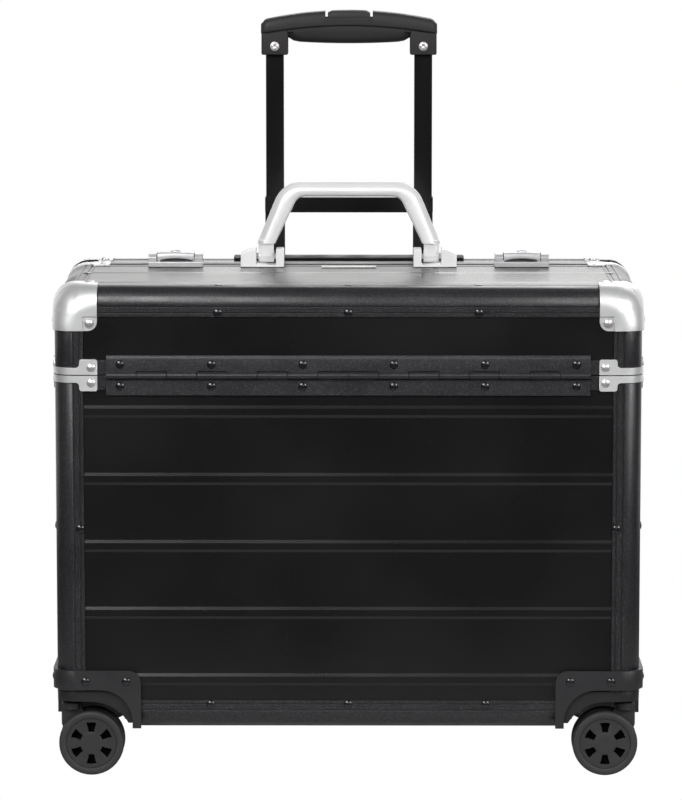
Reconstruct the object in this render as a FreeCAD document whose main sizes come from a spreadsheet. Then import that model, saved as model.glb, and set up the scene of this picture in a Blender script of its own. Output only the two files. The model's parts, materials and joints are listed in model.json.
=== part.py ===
"""Pilot rolling flight case: ribbed panels in rounded aluminium edge profiles, a front-hinged lid,
a carry handle, two lever latches, a two-stage trolley handle and four swivel casters.

Frame: +Z up with the floor at 0, X to the right, Y towards the rear, millimetres.
The origin is on the floor, under the middle of the object's box.
"""
import FreeCAD
import Part
import math
import os
import re

import Sketcher

DIMENSIONS = {
    # case
    "case_width": 471.5,
    "case_depth": 250.0,
    "case_top": 398.5,
    "case_bottom": 39.5,
    "seam_level": 328.0,
    "top_seam_depth": 185.0,
    "seam_half_gap": 0.4,
    "skin": 1.5,
    "panel": 4.0,
    "lining": 2.0,
    # edge profiles
    "edge_leg": 23.5,
    "edge_radius": 15.0,
    "edge_bore": 9.5,
    "frame_leg": 12.0,
    "frame_lip": 4.0,
    "frame_rise": 0.7,
    "groove_width": 1.0,
    "groove_depth": 0.7,
    "groove_near": 15.0,
    "groove_far": 20.0,
    # ribs
    "rib_base": 10.0,
    "rib_flat": 5.2,
    "rib_height": 1.4,
    "rib_pitch": 54.6,
    "rib_first": 80.1,
    "rib_inset": 23.6,
    "top_rib_first": 45.5,
    "top_rib_pitch": 76.0,
    "top_rib_height": 0.5,
    "top_step": 0.3,
    # rivets
    "rivet_radius": 3.3,
    "rivet_height": 1.0,
    "rivet_inset": 20.2,
    "post_rivet_level": 203.5,
    "low_rivet_half": 111.0,
    "lid_rivet_half": 104.4,
    "lid_side_rivet": 112.0,
    "rear_top_rivet": 60.0,
    "leaf_rivet_first": 36.4,
    "leaf_rivet_pitch": 73.1,
    "leaf_rivet_rise": 8.8,
    "guard_rivet_near": 23.6,
    "guard_rivet_far": 56.5,
    "guard_rivet_level": 78.9,
    "clip_rivet_inset": 30.0,
    "clip_rivet_rise": 6.2,
    "ball_rivet_inset": 28.4,
    # corners and seam brackets
    "ball_reach": 35.5,
    "ball_skin": 1.8,
    "clip_skin": 1.3,
    "clip_reach": 35.0,
    "clip_plate": 14.5,
    "clip_height": 12.4,
    "clip_band": 5.6,
    # piano hinge
    "hinge_out": 3.0,
    "hinge_half": 193.7,
    "knuckle_radius": 2.7,
    "hinge_pin_radius": 1.2,
    "pin_play": 0.05,
    "knuckle_count": 16.0,
    "knuckle_gap": 0.25,
    "leaf_skin": 1.3,
    "leaf_reach": 16.3,
    "leaf_clear": 3.4,
    # wheel corner brackets
    "guard_skin": 3.3,
    "guard_reach": 68.4,
    "guard_leg": 6.9,
    "guard_top": 87.6,
    "guard_base": 71.9,
    "guard_foot": 40.6,
    "guard_arch": 26.0,
    "guard_corner": 10.0,
    "guard_lap": 5.0,
    # casters
    "housing_side": 64.0,
    "housing_rise": 31.0,
    "housing_ceiling": 3.0,
    "housing_lift": 5.0,
    "housing_wall": 2.5,
    "arch_radius": 35.5,
    "recess_radius": 43.2,
    "swivel_side_inset": 11.1,
    "swivel_end_inset": 18.0,
    "collar_radius": 8.3,
    "collar_base": 60.0,
    "stem_radius": 4.0,
    "wheel_radius": 26.4,
    "wheel_trail": 16.4,
    "wheel_width": 9.0,
    "wheel_gap": 9.0,
    "hub_radius": 20.6,
    "hub_recess": 1.0,
    "axle_radius": 3.0,
    "axle_recess": 2.0,
    "fork_top": 59.0,
    "fork_plate_radius": 8.3,
    "fork_plate": 6.0,
    "fork_play": 0.6,
    "fork_back": 7.5,
    "fork_arm": 6.0,
    "fork_neck": 8.0,
    "stem_rise": 9.0,
    # carry handle
    "handle_back": 12.0,
    "handle_pivot_rise": 8.5,
    "handle_depth": 16.0,
    "neck_depth": 12.0,
    "neck_near": 63.0,
    "neck_far": 75.6,
    "handle_pin_radius": 2.5,
    "handle_foot": 10.8,
    "arm_out": 76.8,
    "arm_in": 61.6,
    "knee_out": 55.4,
    "knee_in": 42.5,
    "bar_top": 62.5,
    "bar_base": 50.5,
    "knee_radius_out": 25.0,
    "knee_radius_in": 10.0,
    "ear_half_depth": 10.3,
    "ear_rise": 15.0,
    "ear_round": 3.0,
    "ear_base": 1.5,
    "inner_ear_near": 54.2,
    "inner_ear_far": 60.9,
    "outer_ear_near": 77.5,
    "outer_ear_crest": 81.5,
    "outer_ear_far": 90.4,
    "outer_ear_shoulder": 10.8,
    # name plate
    "plate_half": 22.85,
    "plate_near": 26.5,
    "plate_far": 14.5,
    "plate_proud": 0.6,
    # latches
    "latch_centre": 145.0,
    "latch_width": 45.6,
    "latch_front": 22.0,
    "latch_back": 1.0,
    "latch_cheek": 7.0,
    "latch_rise": 12.6,
    "latch_floor": 1.5,
    "latch_cheek_drop": 1.2,
    "latch_strip": 3.0,
    "latch_strip_rise": 4.5,
    "latch_play": 0.4,
    "lever_base": 8.5,
    "lever_barrel": 3.6,
    "lever_root": 3.0,
    "lever_heel": 2.4,
    "latch_axis_back": 5.0,
    "latch_axis_rise": 7.6,
    "latch_pin_radius": 1.5,
    "lock_radius": 4.5,
    "lock_back": 14.0,
    "lock_seat": 9.0,
    "lock_proud": 0.6,
    "keeper_half": 14.0,
    "keeper_near": 1.0,
    "keeper_far": 9.0,
    "keeper_rise": 6.0,
    # trolley handle
    "trolley_reach": 23.0,
    "tube_centre": 63.3,
    "tube_back": 9.0,
    "rail_width": 19.1,
    "rail_depth": 14.0,
    "lower_width": 16.9,
    "lower_depth": 11.9,
    "upper_width": 15.5,
    "upper_depth": 10.2,
    "slide_play": 0.15,
    "tube_wall": 1.2,
    "rail_lift": 10.0,
    "foot_half": 80.0,
    "foot_depth": 8.5,
    "foot_lift": 2.0,
    "lower_length": 345.0,
    "upper_length": 342.0,
    "bezel_half": 98.0,
    "bezel_lap": 28.4,
    "bezel_shoulder": 27.4,
    "bezel_shoulder_rise": 2.0,
    "bezel_crest_far": 21.0,
    "bezel_crest_near": 12.4,
    "bezel_rise": 3.3,
    "bezel_fall": 1.6,
    "bezel_drop": 24.0,
    "bridge_base": 436.8,
    "bridge_top": 449.9,
    "bridge_end": 8.6,
    "bridge_depth": 9.0,
    "grip_half": 75.0,
    "grip_top": 609.2,
    "grip_lip": 596.1,
    "grip_belly": 580.9,
    "grip_base": 571.5,
    "grip_depth": 14.0,
    "palm_depth": 12.0,
    "socket_width": 23.3,
    "socket_depth": 11.0,
    "tube_seat": 4.0,
    "button_half": 18.3,
    "button_depth": 7.7,
    "button_play": 0.3,
    "button_sump": 6.0,
    "screw_radius": 3.5,
    "screw_drop": 2.0,
}

# Places that several pieces share, written as expressions on the sheet's cells.
SIDE = "(case_width / 2)"
MIDDLE = "((hinge_out + knuckle_radius - trolley_reach) / 2)"
FRONT = f"({MIDDLE} - case_depth / 2)"
REAR = f"({MIDDLE} + case_depth / 2)"
TOP_SEAM = f"({FRONT} + top_seam_depth)"
INNER = "(skin + panel)"
LINED = "(skin + panel + lining)"
TROLLEY = f"({REAR} + tube_back)"
PIVOT_Y = f"({TOP_SEAM} - handle_back)"
PIVOT_Z = "(case_top + handle_pivot_rise)"

X = FreeCAD.Vector(1, 0, 0)
Y = FreeCAD.Vector(0, 1, 0)
Z = FreeCAD.Vector(0, 0, 1)

doc = FreeCAD.newDocument("flight_case")
sheet = doc.addObject("Spreadsheet::Sheet", "dims")
for row, (alias, number) in enumerate(DIMENSIONS.items(), start=1):
    sheet.set(f"A{row}", alias)
    sheet.set(f"B{row}", str(number))
    sheet.setAlias(f"B{row}", alias)
doc.recompute()

nodes = []


def tied(expression):
    """The expression with each cell's alias written as a reference to the sheet."""
    return re.sub(r"[a-z_]+", lambda m: f"dims.{m.group()}" if m.group() in DIMENSIONS else m.group(), expression)


def value(expression):
    """The expression's present value."""
    return float(sheet.evalExpression(tied(str(expression))))


def bind(thing, **properties):
    """Bind properties of a document object to expressions."""
    for name, expression in properties.items():
        thing.setExpression(name.replace("__", "."), tied(str(expression)))


def place(thing, x, y, z):
    """Bind where a document object stands."""
    bind(thing, Placement__Base__x=x, Placement__Base__y=y, Placement__Base__z=z)


def box(x, y, z):
    """A block between two expressions along each axis."""
    block = doc.addObject("Part::Box", "block")
    bind(block, Length=f"({x[1]}) - ({x[0]})", Width=f"({y[1]}) - ({y[0]})", Height=f"({z[1]}) - ({z[0]})")
    place(block, x[0], y[0], z[0])
    return block


def rod(axis, span, centre, radius):
    """A cylinder along axis between the two ends of span; centre gives its other two coordinates in X, Y, Z order."""
    turned = {"x": FreeCAD.Rotation(Y, 90), "y": FreeCAD.Rotation(X, -90), "z": FreeCAD.Rotation()}
    bar = doc.addObject("Part::Cylinder", "rod")
    bar.Placement = FreeCAD.Placement(FreeCAD.Vector(), turned[axis])
    bind(bar, Radius=radius, Height=f"({span[1]}) - ({span[0]})")
    point = {"x": (span[0], *centre), "y": (centre[0], span[0], centre[1]), "z": (*centre, span[0])}
    place(bar, *point[axis])
    return bar


def cut(base, *tools):
    """base with each tool taken away."""
    for tool in tools:
        result = doc.addObject("Part::Cut", "cut")
        result.Base = base
        result.Tool = tool
        base = result
    return base


def fuse(*pieces):
    """One solid from several."""
    result = doc.addObject("Part::MultiFuse", "fuse")
    result.Shapes = list(pieces)
    result.Refine = True
    return result


def group(*pieces):
    """Several separate solids as one shape."""
    result = doc.addObject("Part::Compound", "group")
    result.Links = list(pieces)
    return result


def flip(piece, normal, at_y=None):
    """The mirror image across the middle plane, or across the plane at the Y that at_y states."""
    image = doc.addObject("Part::Mirroring", "mirror")
    image.Source = piece
    image.Normal = normal
    if at_y is not None:
        image.Base = FreeCAD.Vector(0, value(at_y), 0)
    return image


def pair(piece):
    """The piece and its image on the other side."""
    return [piece, flip(piece, X)]


def four(piece):
    """The piece at all four corners of the case."""
    row = pair(piece)
    return row + [flip(one, Y, MIDDLE) for one in row]


def node(label, *pieces):
    """Name a sub-part; several pieces become one group."""
    whole = pieces[0] if len(pieces) == 1 else group(*pieces)
    whole.Label = label
    nodes.append(whole)
    return whole


def arc_between(start, end, radius):
    """A circular edge from start to end; a positive radius bulges to the right of the way there."""
    chord = end - start
    half = chord.Length / 2
    right = FreeCAD.Vector(chord.y, -chord.x, 0).normalize()
    rise = abs(radius) - math.sqrt(max(radius * radius - half * half, 0.0))
    middle = (start + end) * 0.5 + right * math.copysign(rise, radius)
    return Part.Arc(start, middle, end)


def outline(sketch, corners):
    """Draw a closed outline bound to the sheet. A corner is (x, y), or (x, y, radius) where an arc leaves it."""
    points = [FreeCAD.Vector(value(corner[0]), value(corner[1]), 0) for corner in corners]
    first = sketch.GeometryCount
    for i, corner in enumerate(corners):
        start = points[i]
        end = points[(i + 1) % len(points)]
        if len(corner) == 3:
            sketch.addGeometry(arc_between(start, end, value(corner[2])))
        else:
            sketch.addGeometry(Part.LineSegment(start, end))
    starts = []
    for i, point in enumerate(points):
        starts.append(1 if sketch.getPoint(first + i, 1).distanceToPoint(point) < 1e-6 else 2)
    for i, corner in enumerate(corners):
        edge = first + i
        before = (i - 1) % len(corners)
        sketch.addConstraint(Sketcher.Constraint("Coincident", first + before, 3 - starts[before], edge, starts[i]))
        measures = (("DistanceX", corner[0], points[i].x), ("DistanceY", corner[1], points[i].y))
        for kind, expression, number in measures:
            index = sketch.addConstraint(Sketcher.Constraint(kind, -1, 1, edge, starts[i], number))
            sketch.setExpression(f"Constraints[{index}]", tied(str(expression)))
        if len(corner) == 3:
            index = sketch.addConstraint(Sketcher.Constraint("Radius", edge, abs(value(corner[2]))))
            sketch.setExpression(f"Constraints[{index}]", tied(f"abs({corner[2]})"))


def padded_outline(name, corners, length, axes, origin):
    """A body with a sketched outline padded along the third of its axes; origin is where its corner stands."""
    body = doc.addObject("PartDesign::Body", name)
    sketch = body.newObject("Sketcher::SketchObject", f"{name}_sketch")
    plane = [f for f in body.Origin.OriginFeatures if f.Role == "XY_Plane"][0]
    sketch.AttachmentSupport = [(plane, "")]
    sketch.MapMode = "FlatFace"
    outline(sketch, corners)
    pad = body.newObject("PartDesign::Pad", f"{name}_pad")
    pad.Profile = sketch
    bind(pad, Length=length)
    body.Placement = FreeCAD.Placement(FreeCAD.Vector(), FreeCAD.Rotation(*axes, "ZXY"))
    place(body, *origin)
    return body


# ---- edge profiles ---------------------------------------------------------------------------------

GROOVES = ("groove_near", "groove_far")
SECTION = [("edge_leg", 0)]
for groove in reversed(GROOVES):
    SECTION += [(f"{groove} + groove_width", 0), (f"{groove} + groove_width", "groove_depth"),
                (groove, "groove_depth"), (groove, 0)]
SECTION[-1] = ("groove_near", 0, "-edge_radius")
SECTION += [(y, x) for x, y, *_ in reversed(SECTION)]
SECTION += [("skin", "edge_leg"), ("skin", "edge_radius"), (INNER, "edge_radius", "edge_bore"),
            ("edge_radius", INNER), ("edge_radius", "skin"), ("edge_leg", "skin")]


def profile(name, axes, start, end, x, y, z):
    """A length of edge profile whose outer corner runs from start to end from the point x, y, z."""
    return padded_outline(name, SECTION, f"({end}) - ({start})", axes, (x, y, z))


HOUSED = "housing_side"
HOUSING_TOP = "(case_bottom + housing_rise)"
LOW_SEAM = "(seam_level - seam_half_gap)"
HIGH_SEAM = "(seam_level + seam_half_gap)"
LID_BACK = f"({TOP_SEAM} - seam_half_gap)"
BASE_BACK = f"({TOP_SEAM} + seam_half_gap)"
CORNERED = "(case_top - edge_leg)"

UPRIGHT_FRONT = (Y, -X, Z)
UPRIGHT_REAR = (-X, -Y, Z)
ALONG_SIDE_TOP = (-Z, -X, Y)


def base_profiles():
    """Eleven lengths of rounded profile round the fixed half."""
    front_post = profile("front_post", UPRIGHT_FRONT, HOUSING_TOP, LOW_SEAM, SIDE, FRONT, HOUSING_TOP)
    rear_post = profile("rear_post", UPRIGHT_REAR, HOUSING_TOP, CORNERED, SIDE, REAR, HOUSING_TOP)
    top_end = f"({REAR} - edge_leg)"
    side_top = profile("side_top", ALONG_SIDE_TOP, BASE_BACK, top_end, SIDE, BASE_BACK, "case_top")
    across = f"({SIDE} - edge_leg)"
    rear_top = profile("rear_top", (-Y, -Z, X), f"-{across}", across, f"-{across}", REAR, "case_top")
    between = f"({SIDE} - {HOUSED})"
    low_front = profile("low_front", (Y, Z, X), f"-{between}", between, f"-{between}", FRONT, "case_bottom")
    low_rear = profile("low_rear", (Z, -Y, X), f"-{between}", between, f"-{between}", REAR, "case_bottom")
    near = f"({FRONT} + {HOUSED})"
    low_side = profile("low_side", (-X, Z, Y), near, f"({REAR} - {HOUSED})", SIDE, near, "case_bottom")
    return [*pair(front_post), *pair(rear_post), *pair(side_top), rear_top, low_front, low_rear, *pair(low_side)]


def lid_profiles():
    """The lid's front posts, its front top edge and its two side top edges."""
    post = profile("lid_post", UPRIGHT_FRONT, HIGH_SEAM, CORNERED, SIDE, FRONT, HIGH_SEAM)
    across = f"({SIDE} - edge_leg)"
    front_top = profile("lid_front_top", (-Z, Y, X), f"-{across}", across, f"-{across}", FRONT, "case_top")
    near = f"({FRONT} + edge_leg)"
    side_top = profile("lid_side_top", ALONG_SIDE_TOP, near, LID_BACK, SIDE, near, "case_top")
    return [*pair(post), front_top, *pair(side_top)]


node("base_profiles", *base_profiles())
node("lid_profiles", *lid_profiles())


# ---- seam frames and panels ------------------------------------------------------------------------

WITHIN = f"({SIDE} - edge_radius)"
FRONT_FACE = (FRONT, f"{FRONT} + {INNER}")
SIDE_FACE = (f"{SIDE} - {INNER}", SIDE)
TOP_FACE = (f"case_top - {INNER}", "case_top")
FRONT_PANEL = (f"{FRONT} + skin", f"{FRONT} + {INNER}")
REAR_PANEL = (f"{REAR} - {INNER}", f"{REAR} - skin")
SIDE_PANEL = (f"{SIDE} - {INNER}", f"{SIDE} - skin")
TOP_PANEL = (f"case_top - {INNER}", "case_top - skin")
RAISED_FRAME = "(case_top + frame_rise)"
RAISED = ("case_top - skin - 1", "case_top - top_step")
NEAR = f"({FRONT} + edge_leg)"
FRAME_LOW = "(seam_level - frame_leg)"
FRAME_HIGH = "(seam_level + frame_leg)"
FRAME_NEAR = f"({TOP_SEAM} - frame_leg)"
FRAME_FAR = f"({TOP_SEAM} + frame_leg)"
ACROSS = f"({SIDE} - edge_leg)"


def seam_frames():
    """The two flanged frames that meet along the seam."""
    base_front = box((f"-{ACROSS}", ACROSS), FRONT_FACE, (FRAME_LOW, LOW_SEAM))
    base_side = fuse(box(SIDE_FACE, (NEAR, FRAME_FAR), (FRAME_LOW, LOW_SEAM)),
                     box(SIDE_FACE, (BASE_BACK, FRAME_FAR), (LOW_SEAM, CORNERED)))
    between = f"({SIDE} - clip_reach)"
    base_top = fuse(box((f"-{ACROSS}", ACROSS), (BASE_BACK, FRAME_FAR), TOP_FACE),
                    box((f"-{between}", between), (BASE_BACK, FRAME_FAR), (TOP_FACE[0], RAISED_FRAME)))
    node("base_seam_frame", base_front, *pair(base_side), base_top)
    lid_front = box((f"-{ACROSS}", ACROSS), FRONT_FACE, (HIGH_SEAM, FRAME_HIGH))
    lid_side = fuse(box(SIDE_FACE, (NEAR, LID_BACK), (HIGH_SEAM, FRAME_HIGH)),
                    box(SIDE_FACE, (FRAME_NEAR, LID_BACK), (FRAME_HIGH, CORNERED)))
    lid_top = box((f"-{ACROSS}", ACROSS), (FRAME_NEAR, LID_BACK), TOP_FACE)
    node("lid_seam_frame", lid_front, *pair(lid_side), lid_top)


def rib(axes, start, end, x, y, z, height="rib_height"):
    """A flat-topped ridge on a panel; axes are its length, its width and the way it stands out."""
    slope = "(rib_base - rib_flat) / 2"
    corners = [("-rib_base / 2", 0), ("rib_base / 2", 0), (f"rib_base / 2 - {slope}", height),
               (f"{slope} - rib_base / 2", height)]
    length, width, outward = axes
    return padded_outline("rib", corners, f"({end}) - ({start})", (width, outward, length), (x, y, z))


def rib_levels(count=5):
    """The heights of the ribs' centre lines, from the lowest."""
    return [f"(rib_first + {i} * rib_pitch)" for i in range(count)]


def base_panels():
    """The fixed half's ribbed walls and its floor."""
    low = "case_bottom + edge_radius"
    housed = f"({SIDE} - {HOUSED})"
    front = [box((f"-{WITHIN}", WITHIN), FRONT_PANEL, (HOUSING_TOP, FRAME_LOW)),
             box((f"-{housed}", housed), FRONT_PANEL, (low, HOUSING_TOP))]
    ribbed = f"({SIDE} - rib_inset)"
    for level in rib_levels():
        front.append(rib((X, Z, -Y), f"-{ribbed}", ribbed, f"-{ribbed}", f"{FRONT} + skin", level))
    node("base_front_panel", fuse(*front))
    rear = [box((f"-{WITHIN}", WITHIN), REAR_PANEL, (HOUSING_TOP, "case_top - edge_radius")),
            box((f"-{housed}", housed), REAR_PANEL, (low, HOUSING_TOP))]
    node("base_rear_panel", fuse(*rear))
    near = f"({FRONT} + edge_radius)"
    far = f"({REAR} - edge_radius)"
    side = [box(SIDE_PANEL, (near, far), (HOUSING_TOP, FRAME_LOW)),
            box(SIDE_PANEL, (f"{FRONT} + {HOUSED}", f"{REAR} - {HOUSED}"), (low, HOUSING_TOP)),
            box(SIDE_PANEL, (FRAME_FAR, far), (FRAME_LOW, "case_top - edge_radius"))]
    start = f"({FRONT} + rib_inset)"
    end = f"({REAR} - rib_inset)"
    for level in rib_levels():
        side.append(rib((Y, Z, X), start, end, f"{SIDE} - skin", start, level))
    node("base_side_panels", *pair(fuse(*side)))
    floor = ("case_bottom + skin", f"case_bottom + {INNER}")
    bottom = fuse(box((f"-{housed}", housed), (near, far), floor),
                  box((f"-{WITHIN}", WITHIN), (f"{FRONT} + {HOUSED}", f"{REAR} - {HOUSED}"), floor))
    node("base_bottom_panel", bottom)
    raised = box((f"-{ACROSS}", ACROSS), (FRAME_FAR, f"({REAR} - edge_leg)"), RAISED)
    node("base_rear_top_panel", fuse(box((f"-{WITHIN}", WITHIN), (FRAME_FAR, far), TOP_PANEL), raised))


def lid_panels():
    """The lid's plain front, its ribbed top and its sides."""
    high = "case_top - edge_radius"
    node("lid_front_panel", box((f"-{WITHIN}", WITHIN), FRONT_PANEL, (FRAME_HIGH, high)))
    near = f"({FRONT} + edge_radius)"
    top = [box((f"-{WITHIN}", WITHIN), (near, FRAME_NEAR), TOP_PANEL),
           box((f"-{ACROSS}", ACROSS), (NEAR, FRAME_NEAR), RAISED)]
    ribbed = f"({SIDE} - rib_inset)"
    for i in range(2):
        place_y = f"{FRONT} + top_rib_first + {i} * top_rib_pitch"
        top.append(rib((X, Y, Z), f"-{ribbed}", ribbed, f"-{ribbed}", place_y, RAISED[1], "top_rib_height"))
    node("lid_top_panel", fuse(*top))
    side = box(SIDE_PANEL, (near, FRAME_NEAR), (FRAME_HIGH, high))
    node("lid_side_panels", *pair(side))


seam_frames()
base_panels()
lid_panels()


# ---- corners, seam brackets and wheel corner brackets ----------------------------------------------


def corner_block(reach, grown, radius):
    """A block of the case's upper right front corner, grown outwards, with its three outer edges rounded."""
    block = box((f"{SIDE} - {reach}", f"{SIDE} + {grown}"), (f"{FRONT} - {grown}", f"{FRONT} + {reach}"),
                (f"case_top - {reach}", f"case_top + {grown}"))
    doc.recompute()
    tip = FreeCAD.Vector(value(f"{SIDE} + {grown}"), value(f"{FRONT} - {grown}"), value(f"case_top + {grown}"))
    rounded = doc.addObject("Part::Fillet", "rounded")
    rounded.Base = block
    edges = [i for i, edge in enumerate(block.Shape.Edges, start=1)
             if min(vertex.Point.distanceToPoint(tip) for vertex in edge.Vertexes) < 1e-6]
    rounded.Edges = [(i, value(radius), value(radius)) for i in edges]
    return rounded


def ball_corners():
    """Formed metal caps over the four upper corners."""
    cap = cut(corner_block("ball_reach", "ball_skin", "edge_radius + ball_skin"),
              corner_block("(ball_reach + 1)", "0", "edge_radius"))
    node("lid_ball_corners", *pair(cap))
    node("rear_ball_corners", *[flip(one, Y, MIDDLE) for one in pair(cap)])


def wrap(axes, start, end, x, y, z, reach, skin):
    """A strip of sheet that wraps a rounded case edge, reaching the same distance along both faces."""
    corners = [(reach, f"-{skin}"), ("edge_radius", f"-{skin}", f"-(edge_radius + {skin})"),
               (f"-{skin}", "edge_radius"), (f"-{skin}", reach), (0, reach), (0, "edge_radius", "edge_radius"),
               ("edge_radius", 0), (reach, 0)]
    return padded_outline("wrap", corners, f"({end}) - ({start})", axes, (x, y, z))


PLATE_NEAR = "(clip_reach - clip_plate)"


def front_clip(seam, way):
    """The seam bracket on a front edge: a band round the edge and a plate on each face, one side of the seam."""
    band = sorted((seam, f"{seam} + {way} * clip_band"), key=value)
    tall = sorted((seam, f"{seam} + {way} * clip_height"), key=value)
    ring = wrap(UPRIGHT_FRONT, *band, SIDE, FRONT, band[0], "clip_reach", "clip_skin")
    front = box((f"{SIDE} - clip_reach", f"{SIDE} - {PLATE_NEAR}"), (f"{FRONT} - clip_skin", FRONT), tall)
    side = box((SIDE, f"{SIDE} + clip_skin"), (f"{FRONT} + {PLATE_NEAR}", f"{FRONT} + clip_reach"), tall)
    return fuse(ring, front, side)


def top_clip(seam, way):
    """The same bracket on a top side edge."""
    band = sorted((seam, f"{seam} + {way} * clip_band"), key=value)
    tall = sorted((seam, f"{seam} + {way} * clip_height"), key=value)
    ring = wrap(ALONG_SIDE_TOP, *band, SIDE, band[0], "case_top", "clip_reach", "clip_skin")
    top = box((f"{SIDE} - clip_reach", f"{SIDE} - {PLATE_NEAR}"), tall, ("case_top", "case_top + clip_skin"))
    side = box((SIDE, f"{SIDE} + clip_skin"), tall, ("case_top - clip_reach", f"case_top - {PLATE_NEAR}"))
    return fuse(ring, top, side)


def seam_brackets():
    """Silver brackets where the seam crosses a case edge, half on the case and half on the lid."""
    node("base_seam_brackets", *pair(front_clip(LOW_SEAM, -1)), *pair(top_clip(BASE_BACK, 1)))
    node("lid_seam_brackets", *pair(front_clip(HIGH_SEAM, 1)), *pair(top_clip(LID_BACK, -1)))


def guard_plate(axes, x, y):
    """One face of an arched wheel corner bracket; its outline starts at the case edge."""
    far = "guard_reach"
    leg = "(guard_reach - guard_leg)"
    corners = [("edge_radius", "guard_top"), (f"{far} - guard_corner", "guard_top", "-guard_corner"),
               (far, "guard_top - guard_corner"), (far, "guard_foot"), (leg, "guard_foot"),
               (leg, "guard_base - guard_arch", "guard_arch"), (f"{leg} - guard_arch", "guard_base"),
               ("edge_radius", "guard_base")]
    return padded_outline("guard", corners, "guard_skin", axes, (x, y, 0))


def wheel_corner_brackets():
    """Four black brackets that wrap the lower corners and arch over the wheels."""
    front = guard_plate((-X, Z, Y), SIDE, f"{FRONT} - guard_skin")
    side = guard_plate((Y, Z, X), SIDE, FRONT)
    ring = wrap(UPRIGHT_FRONT, "guard_base", "guard_top", SIDE, FRONT, "guard_base", "(edge_radius + guard_lap)",
                "guard_skin")
    node("wheel_corner_brackets", *four(fuse(front, side, ring)))


ball_corners()
seam_brackets()
wheel_corner_brackets()


# ---- piano hinge -----------------------------------------------------------------------------------

HINGE_Y = f"({FRONT} - hinge_out)"
KNUCKLE = "(2 * hinge_half / knuckle_count)"


def leaf(first, way, label):
    """A hinge leaf with every second knuckle, starting with the one numbered first; way is up or down."""
    plate = sorted((f"seam_level + {way} * leaf_clear", f"seam_level + {way} * leaf_reach"), key=value)
    skin = (f"{FRONT} - leaf_skin", FRONT)
    pieces = [box(("-hinge_half", "hinge_half"), skin, plate)]
    web = sorted(("seam_level", f"seam_level + {way} * (leaf_clear + 0.1)"), key=value)
    count = int(value("knuckle_count"))
    for i in list(range(first, count // 2, 2)) + list(range(count - 1 - first, count // 2 - 1, -2)):
        start = f"{i} * {KNUCKLE} - hinge_half"
        span = (f"{start} + knuckle_gap / 2", f"{start} + {KNUCKLE} - knuckle_gap / 2")
        pieces.append(rod("x", span, (HINGE_Y, "seam_level"), "knuckle_radius"))
        pieces.append(box(span, (f"{FRONT} - leaf_skin", f"{FRONT} - (hinge_out - knuckle_radius)"), web))
    bore = rod("x", ("-hinge_half - 1", "hinge_half + 1"), (HINGE_Y, "seam_level"), "hinge_pin_radius + pin_play")
    node(label, cut(fuse(*pieces), bore))


leaf(0, 1, "hinge_upper_leaf")
leaf(1, -1, "hinge_lower_leaf")
node("hinge_pin", rod("x", ("-hinge_half", "hinge_half"), (HINGE_Y, "seam_level"), "hinge_pin_radius"))


# ---- rivets ----------------------------------------------------------------------------------------


def rivet(face, u, v, out=0):
    """A rivet head on a face of the case. u and v are its other two coordinates, out is how proud its seat is."""
    seats = {"front": ("y", (f"{FRONT} - {out} - rivet_height", f"{FRONT} - {out}")),
             "rear": ("y", (f"{REAR} + {out}", f"{REAR} + {out} + rivet_height")),
             "side": ("x", (f"{SIDE} + {out}", f"{SIDE} + {out} + rivet_height")),
             "top": ("z", (f"case_top + {out}", f"case_top + {out} + rivet_height"))}
    axis, span = seats[face]
    return rod(axis, span, (u, v), "rivet_radius")


RIVETED_SIDE = f"({SIDE} - rivet_inset)"
RIVETED_TOP = "(case_top - rivet_inset)"
RIVETED_LOW = "(case_bottom + rivet_inset)"
RIVETED_FRONT = f"({FRONT} + rivet_inset)"


def guard_rivets():
    """Two rivets on each face of a wheel corner bracket, at all four corners."""
    heads = []
    for inwards in ("guard_rivet_near", "guard_rivet_far"):
        heads += four(rivet("front", f"{SIDE} - {inwards}", "guard_rivet_level", "guard_skin"))
        heads += four(rivet("side", f"{FRONT} + {inwards}", "guard_rivet_level", "guard_skin"))
    return heads


def leaf_rivets(way):
    """Six rivets along a hinge leaf."""
    heads = []
    for i in range(3):
        along = f"leaf_rivet_first + {i} * leaf_rivet_pitch"
        heads += pair(rivet("front", along, f"seam_level + {way} * leaf_rivet_rise", "leaf_skin"))
    return heads


def base_rivets():
    """Black rivets through the fixed half's profiles and brackets."""
    heads = guard_rivets() + leaf_rivets(-1)
    for face in ("front", "rear"):
        heads += [rivet(face, 0, RIVETED_LOW), *pair(rivet(face, "low_rivet_half", RIVETED_LOW))]
    heads += pair(rivet("side", MIDDLE, RIVETED_LOW))
    heads += four(rivet("front", RIVETED_SIDE, "post_rivet_level"))
    heads += four(rivet("side", RIVETED_FRONT, "post_rivet_level"))
    heads += pair(rivet("rear", f"{SIDE} - rear_top_rivet", RIVETED_TOP))
    node("base_rivets", *heads)


def lid_rivets():
    """Black rivets through the lid's profiles."""
    heads = leaf_rivets(1)
    for face, inset in (("front", RIVETED_TOP), ("top", RIVETED_FRONT)):
        heads += [rivet(face, 0, inset), *pair(rivet(face, "lid_rivet_half", inset))]
    heads += pair(rivet("top", RIVETED_SIDE, f"{FRONT} + lid_side_rivet"))
    heads += pair(rivet("side", f"{FRONT} + lid_side_rivet", RIVETED_TOP))
    node("lid_rivets", *heads)


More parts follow.
